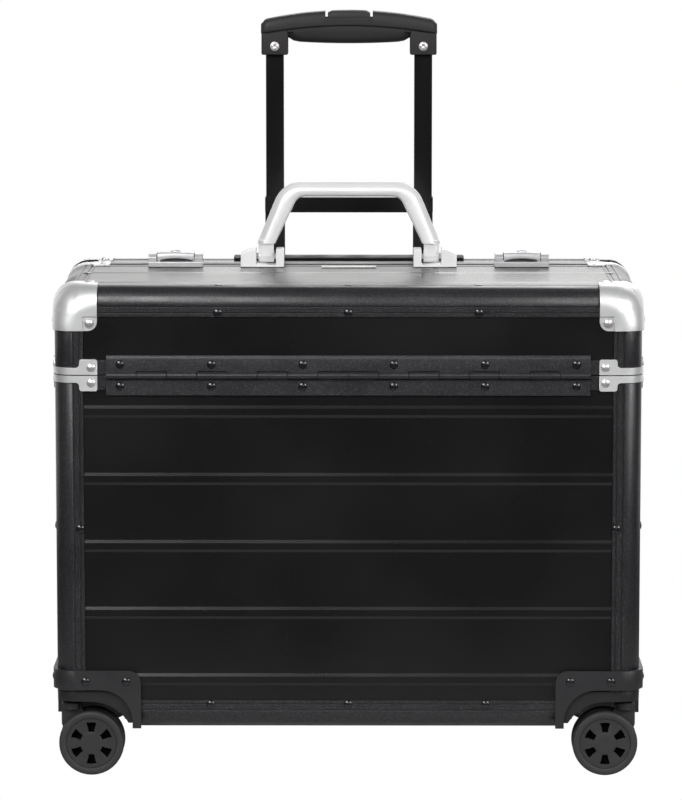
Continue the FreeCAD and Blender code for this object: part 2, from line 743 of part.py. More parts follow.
def clip_rivets(way):
    """Bright rivets in the seam brackets on one side of the seam."""
    level = f"(seam_level + {way} * clip_rivet_rise)"
    back = f"({TOP_SEAM} - {way} * clip_rivet_rise)"
    heads = pair(rivet("front", f"{SIDE} - clip_rivet_inset", level, "clip_skin"))
    heads += pair(rivet("side", f"{FRONT} + clip_rivet_inset", level, "clip_skin"))
    heads += pair(rivet("top", f"{SIDE} - clip_rivet_inset", back, "clip_skin"))
    heads += pair(rivet("side", back, "case_top - clip_rivet_inset", "clip_skin"))
    return heads


def ball_rivets():
    """One bright rivet on each face of a ball corner."""
    x, y, z = f"{SIDE} - ball_rivet_inset", f"{FRONT} + ball_rivet_inset", "case_top - ball_rivet_inset"
    return [rivet("front", x, z, "ball_skin"), rivet("side", y, z, "ball_skin"), rivet("top", x, y, "ball_skin")]


base_rivets()
lid_rivets()
caps = [one for head in ball_rivets() for one in pair(head)]
node("lid_bright_rivets", *clip_rivets(1), *caps)
node("base_bright_rivets", *clip_rivets(-1), *[flip(one, Y, MIDDLE) for one in caps])


# ---- lining ----------------------------------------------------------------------------------------

FLOOR_BOARD = (HOUSING_TOP, f"{HOUSING_TOP} + lining")


def linings():
    """Fabric-covered boards inside both halves."""
    rim = "(seam_level - frame_lip)"
    behind = f"({TOP_SEAM} + frame_lip)"
    between = (f"{FRONT} + edge_radius", f"{REAR} - edge_radius")
    across = (f"-{WITHIN}", WITHIN)
    flank = (f"{SIDE} - {LINED}", f"{SIDE} - {INNER}")
    above = FLOOR_BOARD[1]
    side = fuse(box(flank, between, (above, rim)), box(flank, (behind, between[1]), (rim, "case_top - edge_radius")))
    front = box(across, (f"{FRONT} + {INNER}", f"{FRONT} + {LINED}"), (above, rim))
    rear = box(across, (f"{REAR} - {LINED}", f"{REAR} - {INNER}"), (above, "case_top - edge_radius"))
    roof = box(across, (behind, between[1]), (f"case_top - {LINED}", f"case_top - {INNER}"))
    node("base_lining", front, rear, *pair(side), roof)
    node("floor_board", box(across, between, FLOOR_BOARD))
    high = "(seam_level + frame_lip)"
    top = "(case_top - edge_radius)"
    before = f"({TOP_SEAM} - frame_lip)"
    lid_side = box(flank, (between[0], before), (high, top))
    lid_front = box(across, (f"{FRONT} + {INNER}", f"{FRONT} + {LINED}"), (high, top))
    lid_roof = box(across, (between[0], before), (f"case_top - {LINED}", f"case_top - {INNER}"))
    node("lid_lining", lid_front, *pair(lid_side), lid_roof)


linings()


# ---- wheel housings and casters --------------------------------------------------------------------

SWIVEL_X = f"({SIDE} - swivel_side_inset)"
SWIVEL_Y = f"({FRONT} + swivel_end_inset)"
REAR_SWIVEL = f"({REAR} - swivel_end_inset)"


def corner_room(inset, far, tall):
    """The plan of a lower corner, set in from the case's faces and rounded like them, reaching far along both."""
    low_x = f"{SIDE} - {far}"
    deep_y = f"{FRONT} + {far}"
    round_x = f"{SIDE} - edge_radius"
    round_y = f"{FRONT} + edge_radius"
    return fuse(rod("z", tall, (round_x, round_y), f"edge_radius - {inset}"),
                box((low_x, f"{SIDE} - {inset}"), (round_y, deep_y), tall),
                box((low_x, round_x), (f"{FRONT} + {inset}", deep_y), tall))


def wheel_arches():
    """The openings in a corner's two faces: level towards the case edge, round over the wheel beyond it."""
    crown = "(wheel_radius + arch_radius)"
    below = ("case_bottom - 1", crown)
    middle_x = f"{SIDE} - swivel_side_inset - wheel_trail"
    middle_y = f"{FRONT} + swivel_end_inset + wheel_trail"
    through_front = (f"{FRONT} - 1", f"{FRONT} + edge_radius")
    through_side = (f"{SIDE} - edge_radius", f"{SIDE} + 1")
    return [rod("y", through_front, (middle_x, "wheel_radius"), "arch_radius"),
            box((middle_x, through_side[1]), through_front, below),
            rod("x", through_side, (middle_y, "wheel_radius"), "arch_radius"),
            box(through_side, (through_front[0], middle_y), below)]


def wheel_housings():
    """Pockets in the lower corners behind arched faces, each with a collar for the swivel stem."""
    tall = ("case_bottom + housing_lift", HOUSING_TOP)
    hollow = ("case_bottom - 1", f"{HOUSING_TOP} - housing_ceiling")
    room = doc.addObject("Part::Common", "room")
    room.Base = rod("z", hollow, (SWIVEL_X, SWIVEL_Y), "recess_radius")
    room.Tool = corner_room("housing_wall", HOUSED, hollow)
    collar = rod("z", ("collar_base", f"{HOUSING_TOP} - housing_ceiling / 2"), (SWIVEL_X, SWIVEL_Y), "collar_radius")
    bore = rod("z", ("collar_base - 1", f"{HOUSING_TOP} - housing_ceiling / 2"), (SWIVEL_X, SWIVEL_Y),
               "stem_radius + pin_play")
    shell = cut(corner_room("0", HOUSED, tall), room, *wheel_arches())
    node("wheel_housings", *four(cut(fuse(shell, collar), bore)))


def caster_fork(label, x, y, axle_x, towards):
    """A swivel head: a round plate with a stem, and a web between the wheels that carries the axle."""
    web = (f"{y} - wheel_gap / 2 + fork_play", f"{y} + wheel_gap / 2 - fork_play")
    span = sorted((f"{x} - {towards} * fork_back", f"{axle_x} + {towards} * fork_arm"), key=value)
    arm = (f"{axle_x} - fork_arm", f"{axle_x} + fork_arm")
    plate = rod("z", ("fork_top - fork_plate", "fork_top"), (x, y), "fork_plate_radius")
    stem = rod("z", ("fork_top - 1", "fork_top + stem_rise"), (x, y), "stem_radius")
    neck = box(span, web, ("wheel_radius + fork_neck", "fork_top - fork_plate / 2"))
    drop = box(arm, web, ("wheel_radius", "wheel_radius + fork_neck + 1"))
    boss = rod("y", web, (axle_x, "wheel_radius"), "fork_arm")
    hole = rod("y", (f"{web[0]} - 1", f"{web[1]} + 1"), (axle_x, "wheel_radius"), "axle_radius + pin_play")
    node(f"{label}_caster_fork", cut(fuse(plate, stem, neck, drop, boss), hole))


def caster_wheels(label, y, axle_x):
    """Two hubs on one axle, and a tyre on each."""
    hubs = []
    tyres = []
    for way in (-1, 1):
        near = f"{y} + {way} * wheel_gap / 2"
        ends = sorted((near, f"{near} + {way} * wheel_width"), key=value)
        inset = sorted((near, f"{near} + {way} * (wheel_width - hub_recess)"), key=value)
        hubs.append(rod("y", inset, (axle_x, "wheel_radius"), "hub_radius"))
        rim = rod("y", ends, (axle_x, "wheel_radius"), "wheel_radius")
        seat = rod("y", (f"{ends[0]} - 1", f"{ends[1]} + 1"), (axle_x, "wheel_radius"), "hub_radius")
        tyres.append(cut(rim, seat))
    half = "(wheel_gap / 2 + wheel_width - axle_recess)"
    axle = rod("y", (f"{y} - {half}", f"{y} + {half}"), (axle_x, "wheel_radius"), "axle_radius")
    node(f"{label}_caster_hubs", fuse(*hubs, axle))
    node(f"{label}_caster_tyres", *tyres)


def caster(label, x, y, towards):
    """One twin-wheel swivel caster whose wheels trail towards the middle of the case."""
    axle_x = f"{x} + {towards} * wheel_trail"
    caster_fork(label, x, y, axle_x, towards)
    caster_wheels(label, y, axle_x)


wheel_housings()
for side, way in (("left", -1), ("right", 1)):
    for end, swivel_y in (("front", SWIVEL_Y), ("rear", REAR_SWIVEL)):
        caster(f"{end}_{side}", f"{way} * {SWIVEL_X}", swivel_y, -way)


# ---- carry handle ----------------------------------------------------------------------------------

HANDLE_FOOT = f"({PIVOT_Z} + handle_foot)"


def knee(foot, corner, radius):
    """Where a rounded knee leaves an arm that rises from foot towards corner, and where it meets the level bar."""
    across = f"(({foot[0]}) - ({corner[0]}))"
    rise = f"(({corner[1]}) - ({foot[1]}))"
    slope = f"sqrt({across} ^ 2 + {rise} ^ 2)"
    reach = f"({radius} * ({slope} - {across}) / {rise})"
    on_arm = (f"{corner[0]} + {across} * {reach} / {slope}", f"{corner[1]} - {rise} * {reach} / {slope}")
    return on_arm, (f"{corner[0]} - {reach}", corner[1])


def carried_over(corners):
    """The corners' mirror images in the order that carries the outline on; an arc leaves from its other end."""
    images = []
    for i in range(len(corners) - 1, -1, -1):
        radius = corners[i - 1][2:] if i else ()
        images.append((f"-({corners[i][0]})", corners[i][1], *radius))
    return images


def carry_handle():
    """A cast bail handle on two pins between bracket ears."""
    arm, bar = knee(("arm_out", HANDLE_FOOT), ("knee_out", f"({PIVOT_Z} + bar_top)"), "knee_radius_out")
    outer = [("neck_far", PIVOT_Z), ("neck_far", HANDLE_FOOT), ("arm_out", HANDLE_FOOT),
             (*arm, "knee_radius_out"), bar]
    arm, bar = knee(("arm_in", HANDLE_FOOT), ("knee_in", f"({PIVOT_Z} + bar_base)"), "knee_radius_in")
    inner = [(*bar, "-knee_radius_in"), arm, ("arm_in", HANDLE_FOOT), ("neck_near", HANDLE_FOOT),
             ("neck_near", PIVOT_Z)]
    corners = [*outer, *carried_over(outer), *carried_over(inner), *inner]
    bail = padded_outline("bail", corners, "handle_depth", (-X, Z, Y), (0, f"{PIVOT_Y} - handle_depth / 2", 0))
    trims = []
    for way in (-1, 1):
        depth = sorted((f"{PIVOT_Y} + {way} * neck_depth / 2", f"{PIVOT_Y} + {way} * handle_depth"), key=value)
        trims.append(box(("-arm_out", "arm_out"), depth, (f"{PIVOT_Z} - 1", HANDLE_FOOT)))
    knuckle = rod("x", ("neck_near", "neck_far"), (PIVOT_Y, PIVOT_Z), "neck_depth / 2")
    bore = rod("x", ("-outer_ear_far", "outer_ear_far"), (PIVOT_Y, PIVOT_Z), "handle_pin_radius + pin_play")
    node("carry_handle", cut(fuse(cut(bail, *trims), *pair(knuckle)), bore))


def handle_brackets():
    """Two U brackets, each with an inner ear and a wide outer ear that slopes away, and the pins through them."""
    top = "case_top + ear_rise"
    floor = "case_top + ear_base"
    across = [("inner_ear_near", "case_top"), ("outer_ear_far", "case_top"),
              ("outer_ear_far", "case_top + outer_ear_shoulder"), ("outer_ear_crest", top), ("outer_ear_near", top),
              ("outer_ear_near", floor), ("inner_ear_far", floor), ("inner_ear_far", top), ("inner_ear_near", top)]
    flank = [("-ear_half_depth", "case_top"), ("ear_half_depth", "case_top"),
             ("ear_half_depth", f"{top} - ear_round", "ear_round"), ("ear_half_depth - ear_round", top),
             ("ear_round - ear_half_depth", top, "ear_round"), ("-ear_half_depth", f"{top} - ear_round")]
    both = doc.addObject("Part::Common", "bracket")
    both.Base = padded_outline("ears", across, "2 * ear_half_depth", (X, Z, -Y),
                               (0, f"{PIVOT_Y} + ear_half_depth", 0))
    both.Tool = padded_outline("ear_flank", flank, "outer_ear_far", (Y, Z, X), (0, PIVOT_Y, 0))
    pin = ("inner_ear_near + 1", "outer_ear_far - 1")
    node("handle_brackets", *pair(cut(both, rod("x", pin, (PIVOT_Y, PIVOT_Z), "handle_pin_radius"))))
    node("handle_pins", *pair(rod("x", pin, (PIVOT_Y, PIVOT_Z), "handle_pin_radius")))


carry_handle()
handle_brackets()
node("name_plate", box(("-plate_half", "plate_half"), (f"{TOP_SEAM} - plate_near", f"{TOP_SEAM} - plate_far"),
                       (RAISED[1], "case_top + plate_proud")))


# ---- latches ---------------------------------------------------------------------------------------

LATCH_AXIS_Y = f"({TOP_SEAM} - latch_axis_back)"
LATCH_AXIS_Z = "(case_top + latch_axis_rise)"


def latch_housing(centre):
    """A tray with two cheeks and a low front strip."""
    sides = (f"{centre} - latch_width / 2", f"{centre} + latch_width / 2")
    deep = (f"{TOP_SEAM} - latch_front", f"{TOP_SEAM} - latch_back")
    tall = ("case_top", "case_top + latch_rise - latch_cheek_drop")
    tray = box(sides, deep, ("case_top", "case_top + latch_floor"))
    left = box((sides[0], f"{sides[0]} + latch_cheek"), deep, tall)
    right = box((f"{sides[1]} - latch_cheek", sides[1]), deep, tall)
    strip = box(sides, (deep[0], f"{deep[0]} + latch_strip"), ("case_top", "case_top + latch_strip_rise"))
    seats = (f"{sides[0]} + latch_cheek / 2 - latch_play", f"{sides[1]} - latch_cheek / 2 + latch_play")
    bore = rod("x", seats, (LATCH_AXIS_Y, LATCH_AXIS_Z), "latch_pin_radius + pin_play")
    return cut(fuse(tray, left, right, strip), bore)


def latch_lever(label, centre):
    """A lift lever on stub pins between the cheeks, with a lock cylinder let into its top."""
    half = "(latch_width / 2 - latch_cheek - latch_play)"
    span = (f"{centre} - {half}", f"{centre} + {half}")
    high = "case_top + latch_rise"
    plate = box(span, (f"{TOP_SEAM} - latch_front + latch_play", LATCH_AXIS_Y), ("case_top + lever_base", high))
    barrel = rod("x", span, (LATCH_AXIS_Y, LATCH_AXIS_Z), "lever_barrel")
    pins = rod("x", (f"{span[0]} - latch_cheek / 2", f"{span[1]} + latch_cheek / 2"), (LATCH_AXIS_Y, LATCH_AXIS_Z),
               "latch_pin_radius")
    root = box(span, (f"{LATCH_AXIS_Y} - lever_root", f"{LATCH_AXIS_Y} + lever_heel"), (LATCH_AXIS_Z, high))
    lock = (centre, f"{TOP_SEAM} - lock_back")
    well = rod("z", ("case_top + lock_seat", f"{high} + 1"), lock, "lock_radius + pin_play")
    node(f"{label}_latch_lever", cut(fuse(plate, barrel, pins, root), well))
    plug = rod("z", ("case_top + lock_seat + pin_play", f"{high} + lock_proud"), lock, "lock_radius")
    node(f"{label}_lock_cylinder", plug)


def latch_keeper(centre):
    """The open-topped striker on the fixed half."""
    return box((f"{centre} - keeper_half", f"{centre} + keeper_half"),
               (f"{TOP_SEAM} + keeper_near", f"{TOP_SEAM} + keeper_far"), (RAISED_FRAME, "case_top + keeper_rise"))


node("latch_housings", latch_housing("-latch_centre"), latch_housing("latch_centre"))
latch_lever("left", "-latch_centre")
latch_lever("right", "latch_centre")
node("latch_keepers", latch_keeper("-latch_centre"), latch_keeper("latch_centre"))


# ---- trolley handle --------------------------------------------------------------------------------


def tube(width, depth, low, high, bore=None):
    """A rectangular tube on one side of the trolley; bore is its inner width and depth."""
    def bar(across, deep, z):
        return box((f"tube_centre - ({across}) / 2", f"tube_centre + ({across}) / 2"),
                   (f"{TROLLEY} - ({deep}) / 2", f"{TROLLEY} + ({deep}) / 2"), z)
    outer = bar(width, depth, (low, high))
    return outer if bore is None else cut(outer, bar(*bore, (f"{low} - 1", f"{high} + 1")))


BEZEL_LOW = "(case_top - bezel_drop)"
RAIL_BORE = ("lower_width + 2 * slide_play", "lower_depth + 2 * slide_play")
LOWER_BORE = ("upper_width + 2 * slide_play", "upper_depth + 2 * slide_play")


def fixed_trolley():
    """The rails on the rear face, the foot that carries them and the bezel over the rear top edge."""
    rail_low = "(case_bottom + rail_lift)"
    node("trolley_rails", *pair(tube("rail_width", "rail_depth", rail_low, BEZEL_LOW, RAIL_BORE)))
    node("trolley_foot", box(("-foot_half", "foot_half"), (REAR, f"{TROLLEY} + foot_depth"),
                             ("case_bottom + foot_lift", rail_low)))
    corners = [("-bezel_lap", 0), ("-edge_radius", 0, "-edge_radius"), (0, "-edge_radius"), (0, "-bezel_drop"),
               ("trolley_reach", "-bezel_drop"), ("trolley_reach", "-bezel_fall"),
               ("-bezel_crest_near", "bezel_rise"), ("-bezel_crest_far", "bezel_rise"),
               ("-bezel_shoulder", "bezel_shoulder_rise")]
    cover = padded_outline("bezel", corners, "2 * bezel_half", (Y, Z, X), ("-bezel_half", REAR, "case_top"))
    slots = pair(tube(*RAIL_BORE, f"{BEZEL_LOW} - 1", "case_top + bezel_rise + 1"))
    node("trolley_bezel", cut(cover, *slots))


def lower_stage():
    """The outer tubes and the bridge that joins their upper ends."""
    tubes = tube("lower_width", "lower_depth", "bridge_base - lower_length", "bridge_base", LOWER_BORE)
    node("trolley_lower_tubes", *pair(tubes))
    bar = box(("-tube_centre - bridge_end", "tube_centre + bridge_end"),
              (f"{TROLLEY} - bridge_depth", f"{TROLLEY} + bridge_depth"), ("bridge_base", "bridge_top"))
    node("trolley_bridge", cut(bar, *pair(tube(*LOWER_BORE, "bridge_base - 1", "bridge_top + 1"))))


def across_tubes(half, deep, tall):
    """A block across the trolley, as wide and as deep each way from its middle as stated."""
    return box((f"-({half})", half), (f"{TROLLEY} - {deep}", f"{TROLLEY} + {deep}"), tall)


def upper_stage():
    """The inner tubes, and the grip on them with its button."""
    seat = "(grip_lip - tube_seat)"
    bore = ("upper_width - 2 * tube_wall", "upper_depth - 2 * tube_wall")
    node("trolley_upper_tubes", *pair(tube("upper_width", "upper_depth", "grip_base - upper_length", seat, bore)))
    shell = across_tubes("grip_half", "grip_depth", ("grip_lip", "grip_top"))
    sockets = pair(tube("socket_width", "2 * socket_depth", "grip_base", "grip_lip"))
    room = ("(button_half + button_play)", "(button_depth + button_play)")
    well = across_tubes(*room, ("grip_lip - 1", "grip_top + 1"))
    fitted = pair(tube("upper_width", "upper_depth", "grip_base - 1", seat))
    node("grip_shell", cut(fuse(shell, *sockets), well, *fitted))
    palm = across_tubes("(tube_centre - socket_width / 2)", "palm_depth", ("grip_belly", "grip_lip"))
    sump = across_tubes(*room, ("grip_lip - button_sump", "grip_lip + 1"))
    node("grip_palm", cut(palm, sump))
    heads = (f"{TROLLEY} - palm_depth", f"{TROLLEY} - socket_depth")
    node("grip_screws", *pair(rod("y", heads, ("tube_centre", "grip_belly - screw_drop"), "screw_radius")))
    node("release_button", across_tubes("button_half", "button_depth", ("grip_lip + 1", "grip_top")))


fixed_trolley()
lower_stage()
upper_stage()


# ---- check and write -------------------------------------------------------------------------------

doc.recompute()
for thing in doc.Objects:
    if {"Invalid", "Error"} & set(thing.State):
        raise RuntimeError(f"{thing.Label} failed: {thing.State}")
for thing in nodes:
    if thing.Shape.isNull() or not thing.Shape.isValid():
        raise RuntimeError(f"{thing.Label} has no valid shape")
os.makedirs("parts", exist_ok=True)
for thing in nodes:
    thing.Shape.exportStep(f"parts/{thing.Label}.step")
print(len(nodes), "nodes,", sum(len(thing.Shape.Solids) for thing in nodes), "solids")
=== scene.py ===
"""Looks of the pilot rolling flight case: finer pieces and procedural materials on the CAD frame."""
import json
import math

import bmesh
import bpy
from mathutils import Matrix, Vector


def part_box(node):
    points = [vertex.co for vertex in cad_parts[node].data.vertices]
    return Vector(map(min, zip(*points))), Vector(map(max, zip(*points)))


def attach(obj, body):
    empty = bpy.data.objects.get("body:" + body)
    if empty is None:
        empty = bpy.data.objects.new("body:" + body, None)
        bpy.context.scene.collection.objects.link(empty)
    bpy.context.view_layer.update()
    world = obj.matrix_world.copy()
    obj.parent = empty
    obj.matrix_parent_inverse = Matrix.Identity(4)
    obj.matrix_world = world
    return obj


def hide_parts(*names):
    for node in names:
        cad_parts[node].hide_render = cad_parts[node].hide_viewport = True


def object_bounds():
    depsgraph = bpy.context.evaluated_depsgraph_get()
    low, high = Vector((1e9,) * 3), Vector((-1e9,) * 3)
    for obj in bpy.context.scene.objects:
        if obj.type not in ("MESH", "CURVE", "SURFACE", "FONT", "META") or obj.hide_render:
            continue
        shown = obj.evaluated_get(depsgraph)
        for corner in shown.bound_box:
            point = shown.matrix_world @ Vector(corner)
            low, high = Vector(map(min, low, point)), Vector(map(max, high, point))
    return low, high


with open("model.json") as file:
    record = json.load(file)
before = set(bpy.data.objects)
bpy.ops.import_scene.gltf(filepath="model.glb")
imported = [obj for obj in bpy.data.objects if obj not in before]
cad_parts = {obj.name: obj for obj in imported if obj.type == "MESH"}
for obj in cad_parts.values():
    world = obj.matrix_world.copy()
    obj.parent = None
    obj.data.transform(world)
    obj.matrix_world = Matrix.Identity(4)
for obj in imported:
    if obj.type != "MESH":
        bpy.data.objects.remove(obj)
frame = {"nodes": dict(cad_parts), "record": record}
NODES = frame["nodes"]
CAD_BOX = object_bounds()
MM = 0.001


# ---- camera, light and floor -----------------------------------------------------------------------

CAMERA_PITCH = 7.6
CAMERA_YAW = 0.237
CAMERA_PLACE = (0.0077, -3.3974, 0.7436)
SENSOR = 36.0
LENS = 185.1
BACK_BAND = 1.35
BAND_AHEAD = (0.35, 0.9)
BAND_HEIGHT = (0.25, 0.55)
BAND_ABOVE = 0.06
AMBIENT_HEIGHT = (-0.3, 0.5)
AMBIENT_LOW = 0.05
AMBIENT_HIGH = 0.16
WORLD_WHITE = (1.0, 0.99, 0.985, 1.0)
FLOOR_SIZE = 40.0
# A painted pool of light on the floor: its colour goes from pale near the case to dark far off over these
# distances.
PAINTED_POOL_FADE = (0.25, 0.6)
PAINTED_POOL_NEAR = 0.6
PAINTED_POOL_FAR = 0.04
GLOW_BEHIND = (0.5, 1.6)
LIGHT_AIM = (0, 0, 0.25)


def make_camera():
    """A long lens, slightly above the case and looking down at it."""
    data = bpy.data.cameras.new("camera")
    data.sensor_width = SENSOR
    data.lens = LENS
    data.clip_end = 60.0
    camera = bpy.data.objects.new("camera", data)
    camera.location = CAMERA_PLACE
    camera.rotation_euler = (math.radians(90 - CAMERA_PITCH), 0, math.radians(CAMERA_YAW))
    bpy.context.scene.collection.objects.link(camera)
    bpy.context.scene.camera = camera


def area_light(name, place, aim, size, power):
    """A soft rectangular studio light."""
    data = bpy.data.lights.new(name, "AREA")
    data.shape = "RECTANGLE"
    data.size, data.size_y = size
    data.energy = power
    light = bpy.data.objects.new(name, data)
    light.location = place
    light.rotation_euler = (Vector(aim) - Vector(place)).to_track_quat("-Z", "Y").to_euler()
    bpy.context.scene.collection.objects.link(light)


def ramp(tree, value, start, end, low, high):
    """A smooth change from low to high while value goes from start to end."""
    node = tree.nodes.new("ShaderNodeMapRange")
    node.interpolation_type = "SMOOTHSTEP"
    node.inputs["From Min"].default_value = start
    node.inputs["From Max"].default_value = end
    node.inputs["To Min"].default_value = low
    node.inputs["To Max"].default_value = high
    tree.links.new(value, node.inputs["Value"])
    return node.outputs["Result"]


def combine(tree, operation, first, second):
    """Two values put together."""
    node = tree.nodes.new("ShaderNodeMath")
    node.operation = operation
    tree.links.new(first, node.inputs[0])
    tree.links.new(second, node.inputs[1])
    return node.outputs[0]


def make_world():
    """A white cove whose light is dim all round but for a bright band along the horizon behind the case."""
    world = bpy.data.worlds.new("studio")
    bpy.context.scene.world = world
    world.use_nodes = True
    tree = world.node_tree
    background = tree.nodes["Background"]
    coordinates = tree.nodes.new("ShaderNodeTexCoord")
    split = tree.nodes.new("ShaderNodeSeparateXYZ")
    tree.links.new(coordinates.outputs["Generated"], split.inputs["Vector"])
    height = split.outputs["Z"]
    band = combine(tree, "MULTIPLY", ramp(tree, split.outputs["Y"], *BAND_AHEAD, 0.0, BACK_BAND),
                   ramp(tree, height, *BAND_HEIGHT, 1.0, BAND_ABOVE))
    ambient = ramp(tree, height, *AMBIENT_HEIGHT, AMBIENT_LOW, AMBIENT_HIGH)
    light = combine(tree, "ADD", band, ambient)
    mix = tree.nodes.new("ShaderNodeMix")
    tree.links.new(tree.nodes.new("ShaderNodeLightPath").outputs["Is Camera Ray"], mix.inputs["Factor"])
    tree.links.new(light, mix.inputs["A"])
    mix.inputs["B"].default_value = 1.0
    tree.links.new(mix.outputs["Result"], background.inputs["Strength"])
    background.inputs["Color"].default_value = WORLD_WHITE


def make_floor():
    """A floor the camera sees white; other rays see a painted pool of light on it, pale near the case and
    dark far off, and it glows behind.
    """
    bpy.ops.mesh.primitive_plane_add(size=FLOOR_SIZE, location=(0, 0, 0))
    floor = bpy.context.object
    floor.name = "floor"
    material = bpy.data.materials.new("floor_white")
    material.use_nodes = True
    tree = material.node_tree
    surface = tree.nodes["Principled BSDF"]
    surface.inputs["Roughness"].default_value = 0.9
    distance = tree.nodes.new("ShaderNodeVectorMath")
    distance.operation = "LENGTH"
    place = tree.nodes.new("ShaderNodeTexCoord").outputs["Object"]
    tree.links.new(place, distance.inputs[0])
    # Painted pool of light: for rays other than the camera's, the floor is pale near the case and dark far
    # off.
    shade = tree.nodes.new("ShaderNodeCombineColor")
    for channel in ("Red", "Green", "Blue"):
        painted_pool = ramp(tree, distance.outputs["Value"], *PAINTED_POOL_FADE, PAINTED_POOL_NEAR, PAINTED_POOL_FAR)
        tree.links.new(painted_pool, shade.inputs[channel])
    tree.links.new(shade.outputs["Color"], surface.inputs["Base Color"])
    split = tree.nodes.new("ShaderNodeSeparateXYZ")
    tree.links.new(place, split.inputs["Vector"])
    behind = tree.nodes.new("ShaderNodeEmission")
    tree.links.new(ramp(tree, split.outputs["Y"], *GLOW_BEHIND, 0.0, BACK_BAND), behind.inputs["Strength"])
    lit = tree.nodes.new("ShaderNodeAddShader")
    tree.links.new(surface.outputs["BSDF"], lit.inputs[0])
    tree.links.new(behind.outputs["Emission"], lit.inputs[1])
    glow = tree.nodes.new("ShaderNodeEmission")
    mix = tree.nodes.new("ShaderNodeMixShader")
    tree.links.new(tree.nodes.new("ShaderNodeLightPath").outputs["Is Camera Ray"], mix.inputs["Fac"])
    tree.links.new(lit.outputs["Shader"], mix.inputs[1])
    tree.links.new(glow.outputs["Emission"], mix.inputs[2])
    tree.links.new(mix.outputs["Shader"], tree.nodes["Material Output"].inputs["Surface"])
    floor.data.materials.append(material)


bpy.context.scene.view_settings.view_transform = "Standard"
make_camera()
make_world()
make_floor()
area_light("key", (-1.15, -2.1, 1.75), LIGHT_AIM, (1.4, 1.0), 60)
area_light("fill", (1.7, -1.6, 1.3), LIGHT_AIM, (1.2, 1.2), 38)
area_light("front", (0.0, -3.3, 1.3), LIGHT_AIM, (2.4, 0.3), 9)
area_light("back", (0.6, 2.4, 1.9), LIGHT_AIM, (2.0, 1.2), 30)


# ---- materials -------------------------------------------------------------------------------------


class Finish:
    """A principled material whose colour, roughness and relief come from noise in object space."""

    def __init__(self, name, colour, metallic, roughness, specular=0.5):
        self.material = bpy.data.materials.new(name)
        self.material.use_nodes = True
        self.nodes = self.material.node_tree.nodes
        self.links = self.material.node_tree.links
        self.surface = self.nodes["Principled BSDF"]
        self.surface.inputs["Base Color"].default_value = (*colour, 1)
        self.surface.inputs["Metallic"].default_value = metallic
        self.surface.inputs["Roughness"].default_value = roughness
        self.surface.inputs["Specular IOR Level"].default_value = specular
        self.colour = colour
        self.height = None
        self.place = self.nodes.new("ShaderNodeTexCoord").outputs["Object"]

    def noise(self, scale, detail=3.0, stretch=(1, 1, 1)):
        """Noise at so many features a metre, stretched along an axis."""
        mapping = self.nodes.new("ShaderNodeMapping")
        mapping.inputs["Scale"].default_value = stretch
        self.links.new(self.place, mapping.inputs["Vector"])
        noise = self.nodes.new("ShaderNodeTexNoise")
        noise.inputs["Scale"].default_value = scale
        noise.inputs["Detail"].default_value = detail
        self.links.new(mapping.outputs["Vector"], noise.inputs["Vector"])
        return noise.outputs["Fac"]

    def ranged(self, value, low, high, start=0.35, end=0.65):
        """value mapped from start..end to low..high."""
        ramp = self.nodes.new("ShaderNodeMapRange")
        ramp.inputs["From Min"].default_value = start
        ramp.inputs["From Max"].default_value = end
        ramp.inputs["To Min"].default_value = low
        ramp.inputs["To Max"].default_value = high
        self.links.new(value, ramp.inputs["Value"])
        return ramp.outputs["Result"]

    def mix_colour(self, factor, other):
        """Blend the base colour towards another by factor."""
        mix = self.nodes.new("ShaderNodeMix")
        mix.data_type = "RGBA"
        socket = self.surface.inputs["Base Color"]
        if socket.is_linked:
            self.links.new(socket.links[0].from_socket, mix.inputs["A"])
        else:
            mix.inputs["A"].default_value = (*self.colour, 1)
        mix.inputs["B"].default_value = (*other, 1)
        self.links.new(factor, mix.inputs["Factor"])
        self.links.new(mix.outputs["Result"], socket)
        return self

    def speckle(self, other, scale=2600, start=0.5, end=0.72):
        """Fine grains of another colour."""
        return self.mix_colour(self.ranged(self.noise(scale, 2), 0, 1, start, end), other)

    def uneven(self, low, high, scale=14, stretch=(1, 1, 1)):
        """Roughness that drifts over the surface."""
        drift = self.ranged(self.noise(scale, 4, stretch), low, high)
        self.links.new(drift, self.surface.inputs["Roughness"])
        return self

    def relief(self, scale, strength, distance=0.0002, stretch=(1, 1, 1)):
        """Bump from noise, on top of any bump before it."""
        bump = self.nodes.new("ShaderNodeBump")
        bump.inputs["Strength"].default_value = strength
        bump.inputs["Distance"].default_value = distance
        self.links.new(self.noise(scale, 2, stretch), bump.inputs["Height"])
        if self.height is not None:
            self.links.new(self.height, bump.inputs["Normal"])
        self.height = bump.outputs["Normal"]
        self.links.new(self.height, self.surface.inputs["Normal"])
        return self


